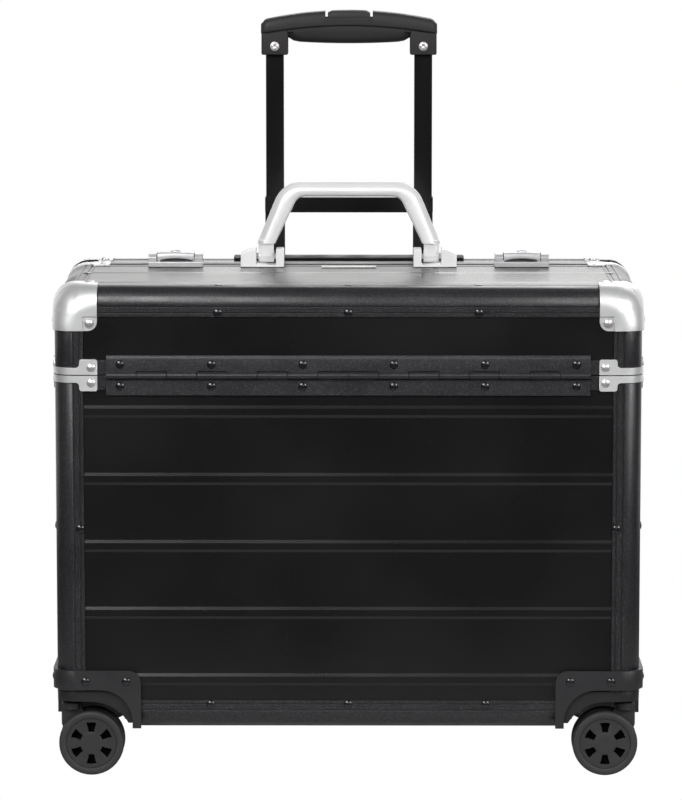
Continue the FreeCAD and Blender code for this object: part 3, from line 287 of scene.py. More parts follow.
def make_materials():
    """Every finish on the case, by the record's slot."""
    made = {}
    made["panel"] = (Finish("panel_black", (0.0034, 0.0029, 0.0034), 0.0, 0.26, 0.52)
                     .uneven(0.24, 0.33, 9).relief(1800, 0.06, 0.0001))
    made["profile"] = (Finish("anodised_black", (0.0125, 0.0122, 0.0136), 0.25, 0.38, 0.6)
                       .speckle((0.078, 0.078, 0.086), 1500, 0.52, 0.72).uneven(0.33, 0.43, 30)
                       .relief(1500, 0.2, 0.0001))
    made["silver_fitting"] = (Finish("satin_silver", (0.74, 0.745, 0.75), 0.72, 0.44)
                              .uneven(0.40, 0.48, 40).relief(1500, 0.05, 0.0001))
    made["bright_rivet"] = Finish("rivet_silver", (0.66, 0.64, 0.63), 0.8, 0.36).uneven(0.32, 0.42, 300)
    made["black_rivet"] = Finish("rivet_black", (0.008, 0.008, 0.010), 0.0, 0.16, 0.6).uneven(0.12, 0.2, 300)
    made["hinge"] = (Finish("hinge_black", (0.022, 0.022, 0.0245), 0.3, 0.36)
                     .speckle((0.085, 0.085, 0.095), 1500, 0.52, 0.72).uneven(0.3, 0.42, 40)
                     .relief(2300, 0.15, 0.0001))
    made["wheel_bracket"] = (Finish("bracket_black", (0.018, 0.0178, 0.0196), 0.1, 0.42)
                             .uneven(0.38, 0.5, 30).relief(2600, 0.10, 0.0001))
    made["handle_metal"] = (Finish("handle_silver", (0.80, 0.80, 0.805), 0.3, 0.42)
                            .uneven(0.38, 0.48, 60).relief(1400, 0.04, 0.0001))
    made["latch_metal"] = (Finish("latch_steel", (0.53, 0.53, 0.54), 0.5, 0.34)
                           .uneven(0.3, 0.4, 120, (1, 8, 8)).relief(900, 0.03, 0.0001, (0.1, 1, 1)))
    made["name_plate"] = (Finish("plate_silver", (0.5, 0.49, 0.48), 1.0, 0.3)
                          .uneven(0.24, 0.38, 200, (0.1, 1, 1)))
    made["trolley_tube"] = (Finish("tube_black", (0.006, 0.0055, 0.006), 0.0, 0.2, 0.5)
                            .uneven(0.16, 0.26, 25, (1, 1, 0.2)).relief(300, 0.02, 0.0001, (1, 1, 0.1)))
    made["trolley_plastic"] = (Finish("grip_plastic", (0.029, 0.0283, 0.0295), 0.0, 0.52, 0.22)
                               .uneven(0.46, 0.6, 60).relief(2800, 0.12, 0.0001))
    made["caster_plastic"] = (Finish("caster_plastic", (0.019, 0.019, 0.020), 0.0, 0.44)
                              .uneven(0.38, 0.52, 60).relief(2400, 0.10, 0.0001))
    made["tyre"] = (Finish("tyre_rubber", (0.024, 0.024, 0.0245), 0.0, 0.6, 0.4)
                    .uneven(0.52, 0.7, 80).relief(1600, 0.2, 0.0001))
    made["lining"] = (Finish("lining_cloth", (0.020, 0.020, 0.023), 0.0, 0.9, 0.2)
                      .speckle((0.05, 0.05, 0.055), 1500, 0.45, 0.6).relief(1500, 0.5, 0.0003))
    return {slot: finish.material for slot, finish in made.items()}


MATERIALS = make_materials()
# A darker copy of the caster plastic for the wheel housings: painted shade inside the wheel arches.
HOUSING_PAINTED_SHADE = (Finish("housing_painted_shade", (0.0115, 0.0115, 0.012), 0.0, 0.5, 0.35)
           .uneven(0.42, 0.58, 60).relief(2400, 0.10, 0.0001)).material
# Near-black material for the wheel barrels: painted shade behind the disc openings.
RECESS_PAINTED_SHADE = (Finish("recess_painted_shade", (0.003, 0.003, 0.003), 0.0, 0.75, 0.1)
          .uneven(0.7, 0.85, 60).relief(2400, 0.1, 0.0001)).material
SLOT_OF = {row["node"]: row["material_slot"] for row in frame["record"]["subparts"]}
BODY_OF = {node: body for body, members in frame["record"]["behaviour"]["bodies"].items() for node in members}


def dress():
    """Every CAD node gets the finish of its slot."""
    for name, thing in NODES.items():
        thing.data.materials.clear()
        thing.data.materials.append(MATERIALS[SLOT_OF[name]])


def soften(name, width, segments=2, limit=35):
    """Round a CAD node's sharp edges with modifiers, which leave its own mesh as it is."""
    thing = NODES[name]
    weld = thing.modifiers.new("weld", "WELD")
    weld.merge_threshold = 0.01 * MM
    bevel = thing.modifiers.new("edges", "BEVEL")
    bevel.width = width * MM
    bevel.segments = segments
    bevel.limit_method = "ANGLE"
    bevel.angle_limit = math.radians(limit)
    bevel.harden_normals = True


# ---- mesh helpers ----------------------------------------------------------------------------------


def piece(name, mesh, nodes, modifiers=()):
    """A new piece that stands for CAD nodes: it rides on their body and takes their slot's finish."""
    mesh.normal_update()
    data = bpy.data.meshes.new(name)
    mesh.to_mesh(data)
    mesh.free()
    thing = bpy.data.objects.new(name, data)
    bpy.context.scene.collection.objects.link(thing)
    slot = SLOT_OF[nodes[0]]
    data.materials.append(MATERIALS[slot])
    for polygon in data.polygons:
        polygon.use_smooth = True
    for kind, settings in modifiers:
        modifier = thing.modifiers.new(kind.lower(), kind)
        for key, setting in settings.items():
            setattr(modifier, key, setting)
    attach(thing, BODY_OF[nodes[0]])
    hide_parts(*nodes)
    return thing


def rounding(width, segments=3, limit=30):
    """A bevel modifier's settings."""
    return ("BEVEL", {"width": width * MM, "segments": segments, "limit_method": "ANGLE",
                      "angle_limit": math.radians(limit), "harden_normals": True})


def metres(pairs):
    """Pairs of millimetres as pairs of metres."""
    return [(first * MM, second * MM) for first, second in pairs]


def loft(mesh, rings):
    """Skin a row of equally long closed rings of points and cap both its ends."""
    rows = [[mesh.verts.new(point) for point in ring] for ring in rings]
    count = len(rows[0])
    for near, far in zip(rows, rows[1:]):
        for i in range(count):
            j = (i + 1) % count
            mesh.faces.new((near[i], near[j], far[j], far[i]))
    mesh.faces.new(list(reversed(rows[0])))
    mesh.faces.new(rows[-1])


def turned(mesh, profile, centre, along, steps=48):
    """Spin a profile of (distance along the axis, radius) round an axis; radius 0 closes an end."""
    axis = Vector(along).normalized()
    side = axis.orthogonal().normalized()
    other = axis.cross(side)
    angles = [2 * math.pi * i / steps for i in range(steps)]
    spokes = [side * math.cos(angle) + other * math.sin(angle) for angle in angles]
    rows = []
    for distance, radius in profile:
        middle = Vector(centre) + axis * distance
        if radius <= 0:
            rows.append([mesh.verts.new(middle)])
            continue
        rows.append([mesh.verts.new(middle + spoke * radius) for spoke in spokes])
    for near, far in zip(rows, rows[1:]):
        for i in range(steps):
            j = (i + 1) % steps
            corners = [near[i % len(near)], near[j % len(near)], far[j % len(far)], far[i % len(far)]]
            unique = []
            for corner in corners:
                if corner not in unique:
                    unique.append(corner)
            if len(unique) > 2:
                mesh.faces.new(unique)
    return rows


def islands(name):
    """The lowest and highest corner of each separate solid in a CAD node."""
    mesh = bmesh.new()
    mesh.from_mesh(NODES[name].data)
    bmesh.ops.remove_doubles(mesh, verts=mesh.verts, dist=0.001 * MM)
    left = set(mesh.verts)
    boxes = []
    while left:
        stack = [left.pop()]
        points = []
        while stack:
            vert = stack.pop()
            points.append(vert.co.copy())
            for edge in vert.link_edges:
                other = edge.other_vert(vert)
                if other in left:
                    left.remove(other)
                    stack.append(other)
        low = Vector([min(p[i] for p in points) for i in range(3)])
        high = Vector([max(p[i] for p in points) for i in range(3)])
        boxes.append((low, high))
    mesh.free()
    return sorted(boxes, key=lambda box: tuple(box[0]))


# ---- rivets ----------------------------------------------------------------------------------------

RIVET_RISE = 1.5
RIVET_SINK = 1.0
RIVET_SPREAD = 1.06
TOP_FLATTER = 0.6
DOME = ((0.0, 1.0), (0.22, 0.97), (0.45, 0.86), (0.68, 0.66), (0.86, 0.40), (0.97, 0.16), (1.0, 0.0))


def dome_rivets(node, name):
    """Domed heads in place of flat ones, pointing away from the case's middle and flatter on its top."""
    mesh = bmesh.new()
    middle = (CAD_BOX[0] + CAD_BOX[1]) / 2
    for low, high in islands(node):
        size = high - low
        axis = min(range(3), key=lambda i: size[i])
        centre = (low + high) / 2
        outward = Vector((0, 0, 0))
        outward[axis] = 1 if axis == 2 or centre[axis] > middle[axis] else -1
        radius = max(size) / 2 * RIVET_SPREAD
        foot = centre - outward * size[axis] / 2
        tall = RIVET_RISE * (TOP_FLATTER if axis == 2 else 1.0) * MM
        profile = [(-RIVET_SINK * MM, radius)]
        profile += [(distance * tall, share * radius) for distance, share in DOME]
        turned(mesh, profile, foot, outward, 28)
    piece(name, mesh, [node])


# ---- ball corners ----------------------------------------------------------------------------------

CASE_LOW, CASE_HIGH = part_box("base_profiles")
TOP = CASE_HIGH.z
BALL_REACH = 36.8
BALL_PROUD = 1.8
BALL_SINK = 1.5
BALL_CORE = 24.0
BALL_END = 17.0
BALL_TAB = 7.6
BALL_STEP = (24.9, 25.5)
BALL_GRID = [2.0 * i for i in range(12)] + [23.4, 24.9, 25.5, 27.0, 28.5, 30.0, 31.5, 33.0, 34.5, 35.8]
BALL_GRID.append(BALL_REACH)
BALL_SLIMS = (15.0, 35.0)
BALL_MIDDLE = 30
BALL_SKIN = 1.1


def ease(low, high, x):
    """A smooth step from 0 at low to 1 at high."""
    share = min(max((x - low) / (high - low), 0.0), 1.0)
    return share * share * (3 - 2 * share)


def ball_point(a, b, c):
    """A point of the cap from its distances to the three faces of a sharp corner."""
    radius = BALL_CORE + (BALL_END - BALL_CORE) * ease(*BALL_SLIMS, max(a, b, c))
    sharp = Vector((a, b, c))
    centre = Vector([max(value, radius) for value in sharp])
    return centre + (sharp - centre).normalized() * radius


def ball_corner(mesh, corner, inward):
    """One formed cap: three curved faces that meet in a ball, each with a stepped tab round its rivet."""
    knee = BALL_REACH - BALL_TAB
    for face in range(3):
        rows = []
        for u in BALL_GRID:
            row = []
            for v in BALL_GRID:
                across, along = u, v
                if u > knee and v > knee:
                    reach = Vector((u - knee, v - knee))
                    reach = reach.normalized() * max(reach)
                    across, along = knee + reach.x, knee + reach.y
                sink = BALL_SINK * ease(*BALL_STEP, u) * ease(*BALL_STEP, v)
                spread = [across, along]
                spread.insert(face, 0.0)
                point = ball_point(*spread)
                point[face] += sink
                place = [corner[i] + inward[i] * (point[i] - BALL_PROUD) * MM for i in range(3)]
                row.append(mesh.verts.new(place))
            rows.append(row)
        for near, far in zip(rows, rows[1:]):
            for i in range(len(near) - 1):
                mesh.faces.new((near[i], near[i + 1], far[i + 1], far[i]))
    bmesh.ops.remove_doubles(mesh, verts=mesh.verts, dist=0.02 * MM)


def ball_corners(name, node, y, back):
    """The two caps at one end of the case."""
    mesh = bmesh.new()
    for x, way in ((CASE_LOW.x, 1), (CASE_HIGH.x, -1)):
        part = bmesh.new()
        ball_corner(part, (x, y, TOP), (way, back, -1))
        bmesh.ops.recalc_face_normals(part, faces=part.faces)
        centre = Vector((x + way * BALL_MIDDLE * MM, y + back * BALL_MIDDLE * MM, TOP - BALL_MIDDLE * MM))
        face = part.faces[:][0]
        if face.normal.dot(face.calc_center_median() - centre) < 0:
            bmesh.ops.reverse_faces(part, faces=part.faces)
        merge(mesh, part)
    skin = ("SOLIDIFY", {"thickness": BALL_SKIN * MM, "offset": -1.0})
    piece(name, mesh, [node], [skin, rounding(0.35, 2, 40)])


def merge(mesh, part):
    """Add one bmesh to another."""
    data = bpy.data.meshes.new("part")
    part.to_mesh(data)
    part.free()
    mesh.from_mesh(data)
    bpy.data.meshes.remove(data)


# ---- seam brackets and hinge -----------------------------------------------------------------------

CLIP_REACH = 35.0
CLIP_SKIN = 1.3
CLIP_ROUND = 1.9
CLIP_SEAM = 0.4
EDGE_RADIUS = 15.0
CLIP_BAND = 5.6
CLIP_TALL = 12.4
CLIP_PLATE = 20.5
CLIP_FILLET = 3.0


def clip_height(s):
    """How far a seam bracket reaches from the seam, at s from the sharp case edge along either face."""
    outer = CLIP_REACH - s
    if s < CLIP_PLATE - CLIP_FILLET:
        return CLIP_BAND
    if s < CLIP_PLATE:
        share = (CLIP_PLATE - s) / CLIP_FILLET
        return CLIP_BAND + CLIP_FILLET * (1 - math.sqrt(max(1 - (1 - share) ** 2, 0.0)))
    for gap in (s - CLIP_PLATE, outer):
        if gap < CLIP_ROUND:
            return CLIP_TALL - CLIP_ROUND + math.sqrt(max(CLIP_ROUND ** 2 - (CLIP_ROUND - gap) ** 2, 0.0))
    return CLIP_TALL


def clip_places():
    """Distances along one face at which a bracket's outline is sampled."""
    places = [EDGE_RADIUS, CLIP_PLATE - CLIP_FILLET]
    places += [CLIP_PLATE - CLIP_FILLET * (1 - math.sin(math.radians(18 * i))) for i in range(1, 6)]
    places += [CLIP_PLATE + CLIP_ROUND * (1 - math.cos(math.radians(18 * i))) for i in range(6)]
    places += [CLIP_REACH - CLIP_ROUND * (1 - math.cos(math.radians(18 * i))) for i in range(5, -1, -1)]
    return places


def seam_clip(mesh, lift):
    """A bracket half; lift(u, v, w) places a point from its distances along both faces and from the seam."""
    spots = []
    for s in reversed(clip_places()):
        spots.append((s, 0.0, (0.0, -1.0), s))
    for i in range(1, 8):
        angle = math.radians(90 * i / 8)
        spots.append((EDGE_RADIUS * (1 - math.sin(angle)), EDGE_RADIUS * (1 - math.cos(angle)),
                      (-math.sin(angle), -math.cos(angle)), EDGE_RADIUS))
    for s in clip_places():
        spots.append((0.0, s, (-1.0, 0.0), s))
    rings = []
    for u, v, (nu, nv), s in spots:
        high = CLIP_SEAM + clip_height(s)
        ring = []
        for out, w in ((0.0, CLIP_SEAM), (CLIP_SKIN, CLIP_SEAM), (CLIP_SKIN, high), (0.0, high)):
            ring.append(Vector(lift(u + nu * out, v + nv * out, w)))
        rings.append(ring)
    part = bmesh.new()
    loft(part, rings)
    bmesh.ops.remove_doubles(part, verts=part.verts, dist=0.005 * MM)
    bmesh.ops.recalc_face_normals(part, faces=part.faces)
    merge(mesh, part)


def seam_clips(name, node, way):
    """The four brackets of one half: on both front edges and on both top side edges."""
    mesh = bmesh.new()
    hinge_low, hinge_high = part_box("hinge_pin")
    seam_z = (hinge_low.z + hinge_high.z) / 2
    seam_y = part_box("lid_seam_frame")[1].y + CLIP_SEAM * MM
    for side in (-1, 1):
        edge = side * CASE_HIGH.x

        def front(u, v, w):
            return edge - side * u * MM, CASE_LOW.y + v * MM, seam_z + way * w * MM

        def top(u, v, w):
            return edge - side * u * MM, seam_y - way * w * MM, TOP - v * MM

        seam_clip(mesh, front)
        seam_clip(mesh, top)
    piece(name, mesh, [node], [rounding(0.35, 2, 40)])


HINGE_HALF = 193.7
KNUCKLES = 16
KNUCKLE_GAP = 0.3
KNUCKLE_RADIUS = 2.7
KNUCKLE_CHAMFER = 0.3
PIN_BORE = 1.25
WEB_IN = 0.3
WEB_OUT = 1.3
HINGE_UPPER = ((0.0, 3.4), (1.3, 3.4), (1.3, 12.9), (1.05, 14.3), (0.55, 15.6), (0.0, 16.3))
HINGE_LOWER = ((0.0, 3.4), (1.3, 3.4), (1.3, 15.9), (0.9, 16.3), (0.0, 16.3))


def hinge_leaf(label, first, way, section):
    """A rolled leaf of the piano hinge, with every second knuckle round the pin."""
    mesh = bmesh.new()
    low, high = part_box("hinge_pin")
    pin_y, seam_z = (low.y + high.y) / 2, (low.z + high.z) / 2
    plate = [(CASE_LOW.y - out * MM, seam_z + way * rise * MM) for out, rise in section]
    prism(mesh, plate, -HINGE_HALF * MM, HINGE_HALF * MM, axis=0)
    length = 2 * HINGE_HALF / KNUCKLES
    half = KNUCKLES // 2
    for i in list(range(first, half, 2)) + list(range(KNUCKLES - 1 - first, half - 1, -2)):
        start = -HINGE_HALF + i * length + KNUCKLE_GAP / 2
        span = length - KNUCKLE_GAP
        barrel = ((0, PIN_BORE), (0, KNUCKLE_RADIUS - KNUCKLE_CHAMFER), (KNUCKLE_CHAMFER, KNUCKLE_RADIUS),
                  (span - KNUCKLE_CHAMFER, KNUCKLE_RADIUS), (span, KNUCKLE_RADIUS - KNUCKLE_CHAMFER),
                  (span, PIN_BORE))
        turned(mesh, metres(barrel + barrel[:1]), (start * MM, pin_y, seam_z), (1, 0, 0), 28)
        web = [(CASE_LOW.y - out * MM, seam_z + way * rise * MM)
               for out, rise in ((WEB_IN, 0), (WEB_OUT, 0.9), (WEB_OUT, 3.6), (WEB_IN, 3.6))]
        prism(mesh, web, start * MM, (start + span) * MM, axis=0)
    bmesh.ops.recalc_face_normals(mesh, faces=mesh.faces)
    piece(f"hinge_{label}_rolled_leaf", mesh, [f"hinge_{label}_leaf"], [rounding(0.25, 2, 35)])


# ---- carry handle and brackets ---------------------------------------------------------------------

PIN_LOW, PIN_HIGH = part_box("handle_pins")
PIVOT = (PIN_LOW + PIN_HIGH) / 2
BAIL_OUTER = ((76.8, 10.8), (55.4, 62.5), (0.0, 62.5), 25.0)
BAIL_INNER = ((61.6, 10.8), (42.5, 50.5), (0.0, 50.5), 10.0)
BAIL_STEPS = (6, 12, 5)
BOSS = ((-0.4, 0), (-0.4, 4.6), (0.2, 5.2), (12.0, 5.2), (12.6, 4.6), (12.6, 0))
NECK = (63.0, 75.6)
NECK_DEPTHS = ((-0.4, 6.0), (3.0, 6.1), (6.0, 6.3), (8.5, 6.5), (10.4, 6.8), (12.0, 7.6), (14.0, 7.8))
EAR = ((54.2, 0), (54.2, 14.2), (55.0, 15), (60.2, 15), (60.9, 14.3), (60.9, 1.5), (77.5, 1.5), (77.5, 14.3),
       (78.2, 15), (81.5, 14.8), (89.2, 11.6), (90.4, 10.4), (90.4, 0))
PIN_START = 60.0
PIN_ROD = ((0, 0), (0, 2.45), (18.0, 2.45), (18.0, 0))


def filleted(start, corner, end, radius, steps):
    """Points along two lines joined by an arc."""
    start, corner, end = (Vector(point) for point in (start, corner, end))
    back = (start - corner).normalized()
    on = (end - corner).normalized()
    half = back.angle(on) / 2
    reach = radius / math.tan(half)
    middle = corner + (back + on).normalized() * (radius / math.sin(half))
    first = corner + back * reach - middle
    last = corner + on * reach - middle
    turn = first.angle_signed(last)
    points = [start.lerp(middle + first, i / steps[0]) for i in range(steps[0])]
    for i in range(steps[1] + 1):
        angle = -turn * i / steps[1]
        rotated = Vector((first.x * math.cos(angle) - first.y * math.sin(angle),
                          first.x * math.sin(angle) + first.y * math.cos(angle)))
        points.append(middle + rotated)
    points += [(middle + last).lerp(end, i / steps[2]) for i in range(1, steps[2] + 1)]
    return points


def bail_section(outer, inner):
    """The closed section between an outer and an inner point: chamfered outside, rounded inside."""
    width = (inner - outer).length
    inwards = (inner - outer).normalized()
    half = [(0.0, 2.2), (0.25, 2.9), (4.3, 7.0), (5.4, 7.7), (width * 0.62, 8.0), (width - 2.0, 7.7),
            (width - 0.6, 6.8), (width, 5.0)]
    ring = []
    for inset, depth in half:
        point = outer + inwards * inset
        ring.append(Vector((point.x, -depth, point.y)))
    for inset, depth in reversed(half):
        point = outer + inwards * inset
        ring.append(Vector((point.x, depth, point.y)))
    return ring


def carry_handle():
    """The cast bail, lofted between its outer and inner outline, with its two necks and pin bosses."""
    outer = filleted(*BAIL_OUTER, BAIL_STEPS)
    inner = filleted(*BAIL_INNER, BAIL_STEPS)
    half = [bail_section(o, i) for o, i in zip(outer, inner)]
    other = [[Vector((-p.x, p.y, p.z)) for p in ring] for ring in reversed(half[:-1])]
    mesh = bmesh.new()
    loft(mesh, [[PIVOT + p * MM for p in ring] for ring in half + other])
    for way in (-1, 1):
        rings = []
        for z, deep in NECK_DEPTHS:
            near, far = (way * x for x in NECK)
            front = [(near, 0.9 - deep), (near + way * 1.2, -deep), (far - way * 4.5, -deep),
                     (far - way * 1.6, 0.8 - deep), (far, 2.4 - deep)]
            ring = front + [(x, -y) for x, y in reversed(front)]
            rings.append([PIVOT + Vector((x, y, z)) * MM for x, y in ring])
        loft(mesh, rings)
        start = PIVOT + Vector((way * NECK[0], 0, 0)) * MM
        turned(mesh, metres(BOSS), start, (way, 0, 0), 40)
    bmesh.ops.recalc_face_normals(mesh, faces=mesh.faces)
    piece("carry_handle_bail", mesh, ["carry_handle"], [rounding(0.35, 2, 32)])


def prism(mesh, outline, low, high, axis=1):
    """A closed outline in the two axes other than axis, drawn out from low to high."""
    rings = []
    for level in (low, high):
        ring = []
        for pair in outline:
            point = list(pair)
            point.insert(axis, level)
            ring.append(Vector(point))
        rings.append(ring)
    loft(mesh, rings)


def handle_brackets():
    """Two U brackets with a low inner ear and a broad outer ear whose top slopes away."""
    mesh = bmesh.new()
    low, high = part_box("handle_brackets")
    for way in (-1, 1):
        outline = [(way * x * MM, low.z + z * MM) for x, z in EAR]
        prism(mesh, outline, low.y, high.y)
    bmesh.ops.recalc_face_normals(mesh, faces=mesh.faces)
    piece("handle_bracket_castings", mesh, ["handle_brackets"], [rounding(0.8, 3, 25)])
    pins = bmesh.new()
    for way in (-1, 1):
        start = Vector((way * PIN_START * MM, PIVOT.y, PIVOT.z))
        turned(pins, metres(PIN_ROD), start, (way, 0, 0), 32)
    bmesh.ops.recalc_face_normals(pins, faces=pins.faces)
    piece("handle_pin_rods", pins, ["handle_pins"])


# ---- latches ---------------------------------------------------------------------------------------

LATCH_PLACES = {"left": -145.0, "right": 145.0}
LATCH_HALF = 22.8
LATCH_CHEEK = 7.0
CHEEK_FRONT = ((0.4, 0), (0.4, 8.2), (1.6, 10), (4.5, 11.2), (9, 11.6))
CHEEK_BACK = ((4, 11.6), (0.8, 9.5), (0, 6), (0, 0))
CHEEK_INSET = 0.3
STRIP_FRONT = ((0, 0), (0, 3.9), (0.6, 4.5), (2.6, 4.5), (3.2, 1.5))
TRAY_FLOOR = 1.5
LEVER_HALF = 15.3
LEVER_SETBACK = 1.4
LEVER_CROWN = 12.6
LEVER_DROP = 0.6
LEVER_LIP = 5.3
LIP_RISE = 2.0
PLUG_RIM = ((4.4, 4.0), (4.4, 0.25), (4.2, 0.0), (3.6, 0.0), (3.4, 0.35), (2.9, 0.35))
KEY_SLOT = (1.9, 0.45)
KEY_DEPTHS = (0.35, 1.6)


def latch_housings():
    """A tray with two rounded cheeks and a low front strip, for both latches."""
    mesh = bmesh.new()
    low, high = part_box("latch_housings")
    cheek = [(low.y + y * MM, low.z + z * MM) for y, z in CHEEK_FRONT]
    cheek += [(high.y - y * MM, low.z + z * MM) for y, z in CHEEK_BACK]
    strip = [(low.y + y * MM, low.z + z * MM) for y, z in STRIP_FRONT]
    strip += [(high.y, low.z + TRAY_FLOOR * MM), (high.y, low.z)]
    for centre in LATCH_PLACES.values():
        for way in (-1, 1):
            ends = sorted(((centre + way * (LATCH_HALF - LATCH_CHEEK)) * MM,
                           (centre + way * (LATCH_HALF - CHEEK_INSET)) * MM))
            prism(mesh, cheek, *ends, axis=0)
        prism(mesh, strip, (centre - LATCH_HALF) * MM, (centre + LATCH_HALF) * MM, axis=0)
    bmesh.ops.recalc_face_normals(mesh, faces=mesh.faces)
    piece("latch_bodies", mesh, ["latch_housings"], [rounding(1.2, 3, 28)])


def latch_lever(side, centre):
    """A crowned lift lever whose front lip arches over the finger gap."""
    mesh = bmesh.new()
    seam_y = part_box(f"{side}_latch_lever")[1].y + LEVER_SETBACK * MM
    rings = []
    for i in range(17):
        u = i / 8 - 1
        crown = LEVER_CROWN - LEVER_DROP * u * u
        lip = LEVER_LIP + LIP_RISE * (1 - u * u)
        section = [(-20.4, lip), (-21.5, lip), (-21.6, crown - 2.6), (-20.9, crown - 0.9),
                   (-19.2, crown - 0.1), (-14.0, crown), (-5.0, crown - 0.2), (-2.4, crown - 1.6),
                   (-1.5, 8.6), (-1.6, 6.2), (-3.4, 4.4), (-6.6, 4.4), (-8.4, 6.6),
                   (-9.2, crown - 2.4), (-18.6, crown - 2.4), (-20.0, crown - 3.6)]
        x = (centre + u * LEVER_HALF) * MM
        rings.append([Vector((x, seam_y + y * MM, TOP + z * MM)) for y, z in section])
    loft(mesh, rings)
    bmesh.ops.recalc_face_normals(mesh, faces=mesh.faces)
    piece(f"{side}_latch_lift_lever", mesh, [f"{side}_latch_lever"], [rounding(0.45, 2, 30)])


def lock_cylinder(side):
    """A round lock plug with a raised rim and a key slot."""
    node = f"{side}_lock_cylinder"
    low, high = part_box(node)
    centre = Vector(((low.x + high.x) / 2, (low.y + high.y) / 2, high.z))
    mesh = bmesh.new()
    steps = 40
    angles = [2 * math.pi * i / steps for i in range(steps)]
    rings = []
    for radius, depth in PLUG_RIM:
        ring = [Vector((math.cos(angle) * radius, math.sin(angle) * radius, -depth)) for angle in angles]
        rings.append([centre + point * MM for point in ring])
    wide, thin = KEY_SLOT
    for depth in KEY_DEPTHS:
        ring = []
        for angle in angles:
            x = max(-wide, min(wide, 3 * math.cos(angle)))
            y = max(-thin, min(thin, 3 * math.sin(angle)))
            ring.append(centre + Vector((x, y, -depth)) * MM)
        rings.append(ring)
    loft(mesh, rings)
    bmesh.ops.remove_doubles(mesh, verts=mesh.verts, dist=0.01 * MM)
    bmesh.ops.recalc_face_normals(mesh, faces=mesh.faces)
    piece(f"{side}_lock_plug", mesh, [node])


# ---- trolley grip ----------------------------------------------------------------------------------

GRIP_LOW, GRIP_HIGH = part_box("grip_shell")
GRIP_Y = (GRIP_LOW.y + GRIP_HIGH.y) / 2
GRIP_HALF = 75.0
GRIP_ARCH = 8.4
LIP_ARCH = 6.6
GRIP_TOP = GRIP_HIGH.z / MM
LIP = 596.1
NOTCH = 20.2
WELL = 599.5
WELL_HALF = 11.2
SHELL_DEEP = 13.8
SHELL_NARROWS = 2.6
SHELL_SINKS = 3.0
SHELL_END = 4.0
SADDLE_DROP = 5.4
SOCKET = (51.9, 74.7)
SOCKET_DEEP = 11.0
SOCKET_CORNER = 2.0
SOCKET_LEVELS = ((571.5, 1.0), (572.1, 0.2), (572.9, 0.0), (588.5, 0.0), (594.5, 0.0))
PALM_HALF = 52.5
PALM_DEEP = 12.0
PALM_BELLY = 580.9
BUTTON_HALF = 18.1
BUTTON_DEEP = 10.9
BUTTON_FOOT = 3.7
SCREW_HEAD = ((0.0, 3.9), (0.35, 3.9), (0.6, 3.5), (0.35, 3.1), (0.75, 2.7), (0.95, 1.6))
CROSS_WAIST = 0.38
CROSS_DEPTH = 0.5


def arch(x, top, drop):
    """The height of a shallow arch at x."""
    return top - drop * (x / GRIP_HALF) ** 2


def shell_section(x, top, lip, deep):
    """A rounded section of the grip's upper shell."""
    edge = min(4.5, (top - lip) * 0.42)
    half = [(-deep + 1.4, lip), (-deep + 0.2, lip + 1.2), (-deep, lip + 2.4), (-deep, top - edge),
            (-deep + 0.22 * edge, top - 0.42 * edge), (-deep + 0.6 * edge, top - 0.12 * edge),
            (-deep + edge, top)]
    return mirrored_ring(x, half)


def mirrored_ring(x, half):
    """A ring of the grip at x: the front half of its section and the same mirrored behind."""
    ring = half + [(-y, z) for y, z in reversed(half)]
    return [Vector((x * MM, GRIP_Y + y * MM, z * MM)) for y, z in ring]


def grip_shell():
    """The arched upper shell in three stretches, the middle one with the button's well, and two sockets."""
    mesh = bmesh.new()
    deep = SHELL_DEEP
    for way in (-1, 1):
        rings = []
        for i in range(15):
            share = i / 14
            x = NOTCH + (GRIP_HALF - NOTCH) * math.sin(share * math.pi / 2) ** 0.9
            shrink = ease(0.0, 1.0, max(0.0, (x - GRIP_HALF + SHELL_END) / SHELL_END))
            rings.append(shell_section(way * x, arch(x, GRIP_TOP, GRIP_ARCH) - SHELL_SINKS * shrink,
                                       arch(x, LIP, LIP_ARCH), deep - SHELL_NARROWS * shrink))
        loft(mesh, rings)
    rings = []
    for i in range(9):
        x = NOTCH * (i / 4 - 1) * 1.02
        lip = arch(x, LIP, LIP_ARCH)
        wall = arch(x, GRIP_TOP, GRIP_ARCH) - SADDLE_DROP
        half = [(-deep + 1.4, lip), (-deep + 0.2, lip + 1.2), (-deep, lip + 2.4), (-deep, wall - 0.8),
                (-deep + 0.8, wall), (-WELL_HALF - 0.2, wall), (-WELL_HALF, WELL)]
        rings.append(mirrored_ring(x, half))
    loft(mesh, rings)
    for way in (-1, 1):
        rings = []
        for z, inset in SOCKET_LEVELS:
            corner = SOCKET_CORNER
            left = SOCKET[0] + inset + corner
            right = SOCKET[1] - inset - corner
            deepest = SOCKET_DEEP - inset - corner
            ring = []
            for cx, cy, start in ((right, deepest, 0), (left, deepest, 90), (left, -deepest, 180),
                                  (right, -deepest, 270)):
                for step in range(5):
                    angle = math.radians(start + step * 22.5)
                    ring.append((cx + corner * math.cos(angle), cy + corner * math.sin(angle)))
            rings.append([Vector((way * x * MM, GRIP_Y + y * MM, z * MM)) for x, y in ring])
        loft(mesh, rings)
    bmesh.ops.recalc_face_normals(mesh, faces=mesh.faces)
    piece("grip_upper_shell", mesh, ["grip_shell"], [rounding(0.4, 2, 35)])


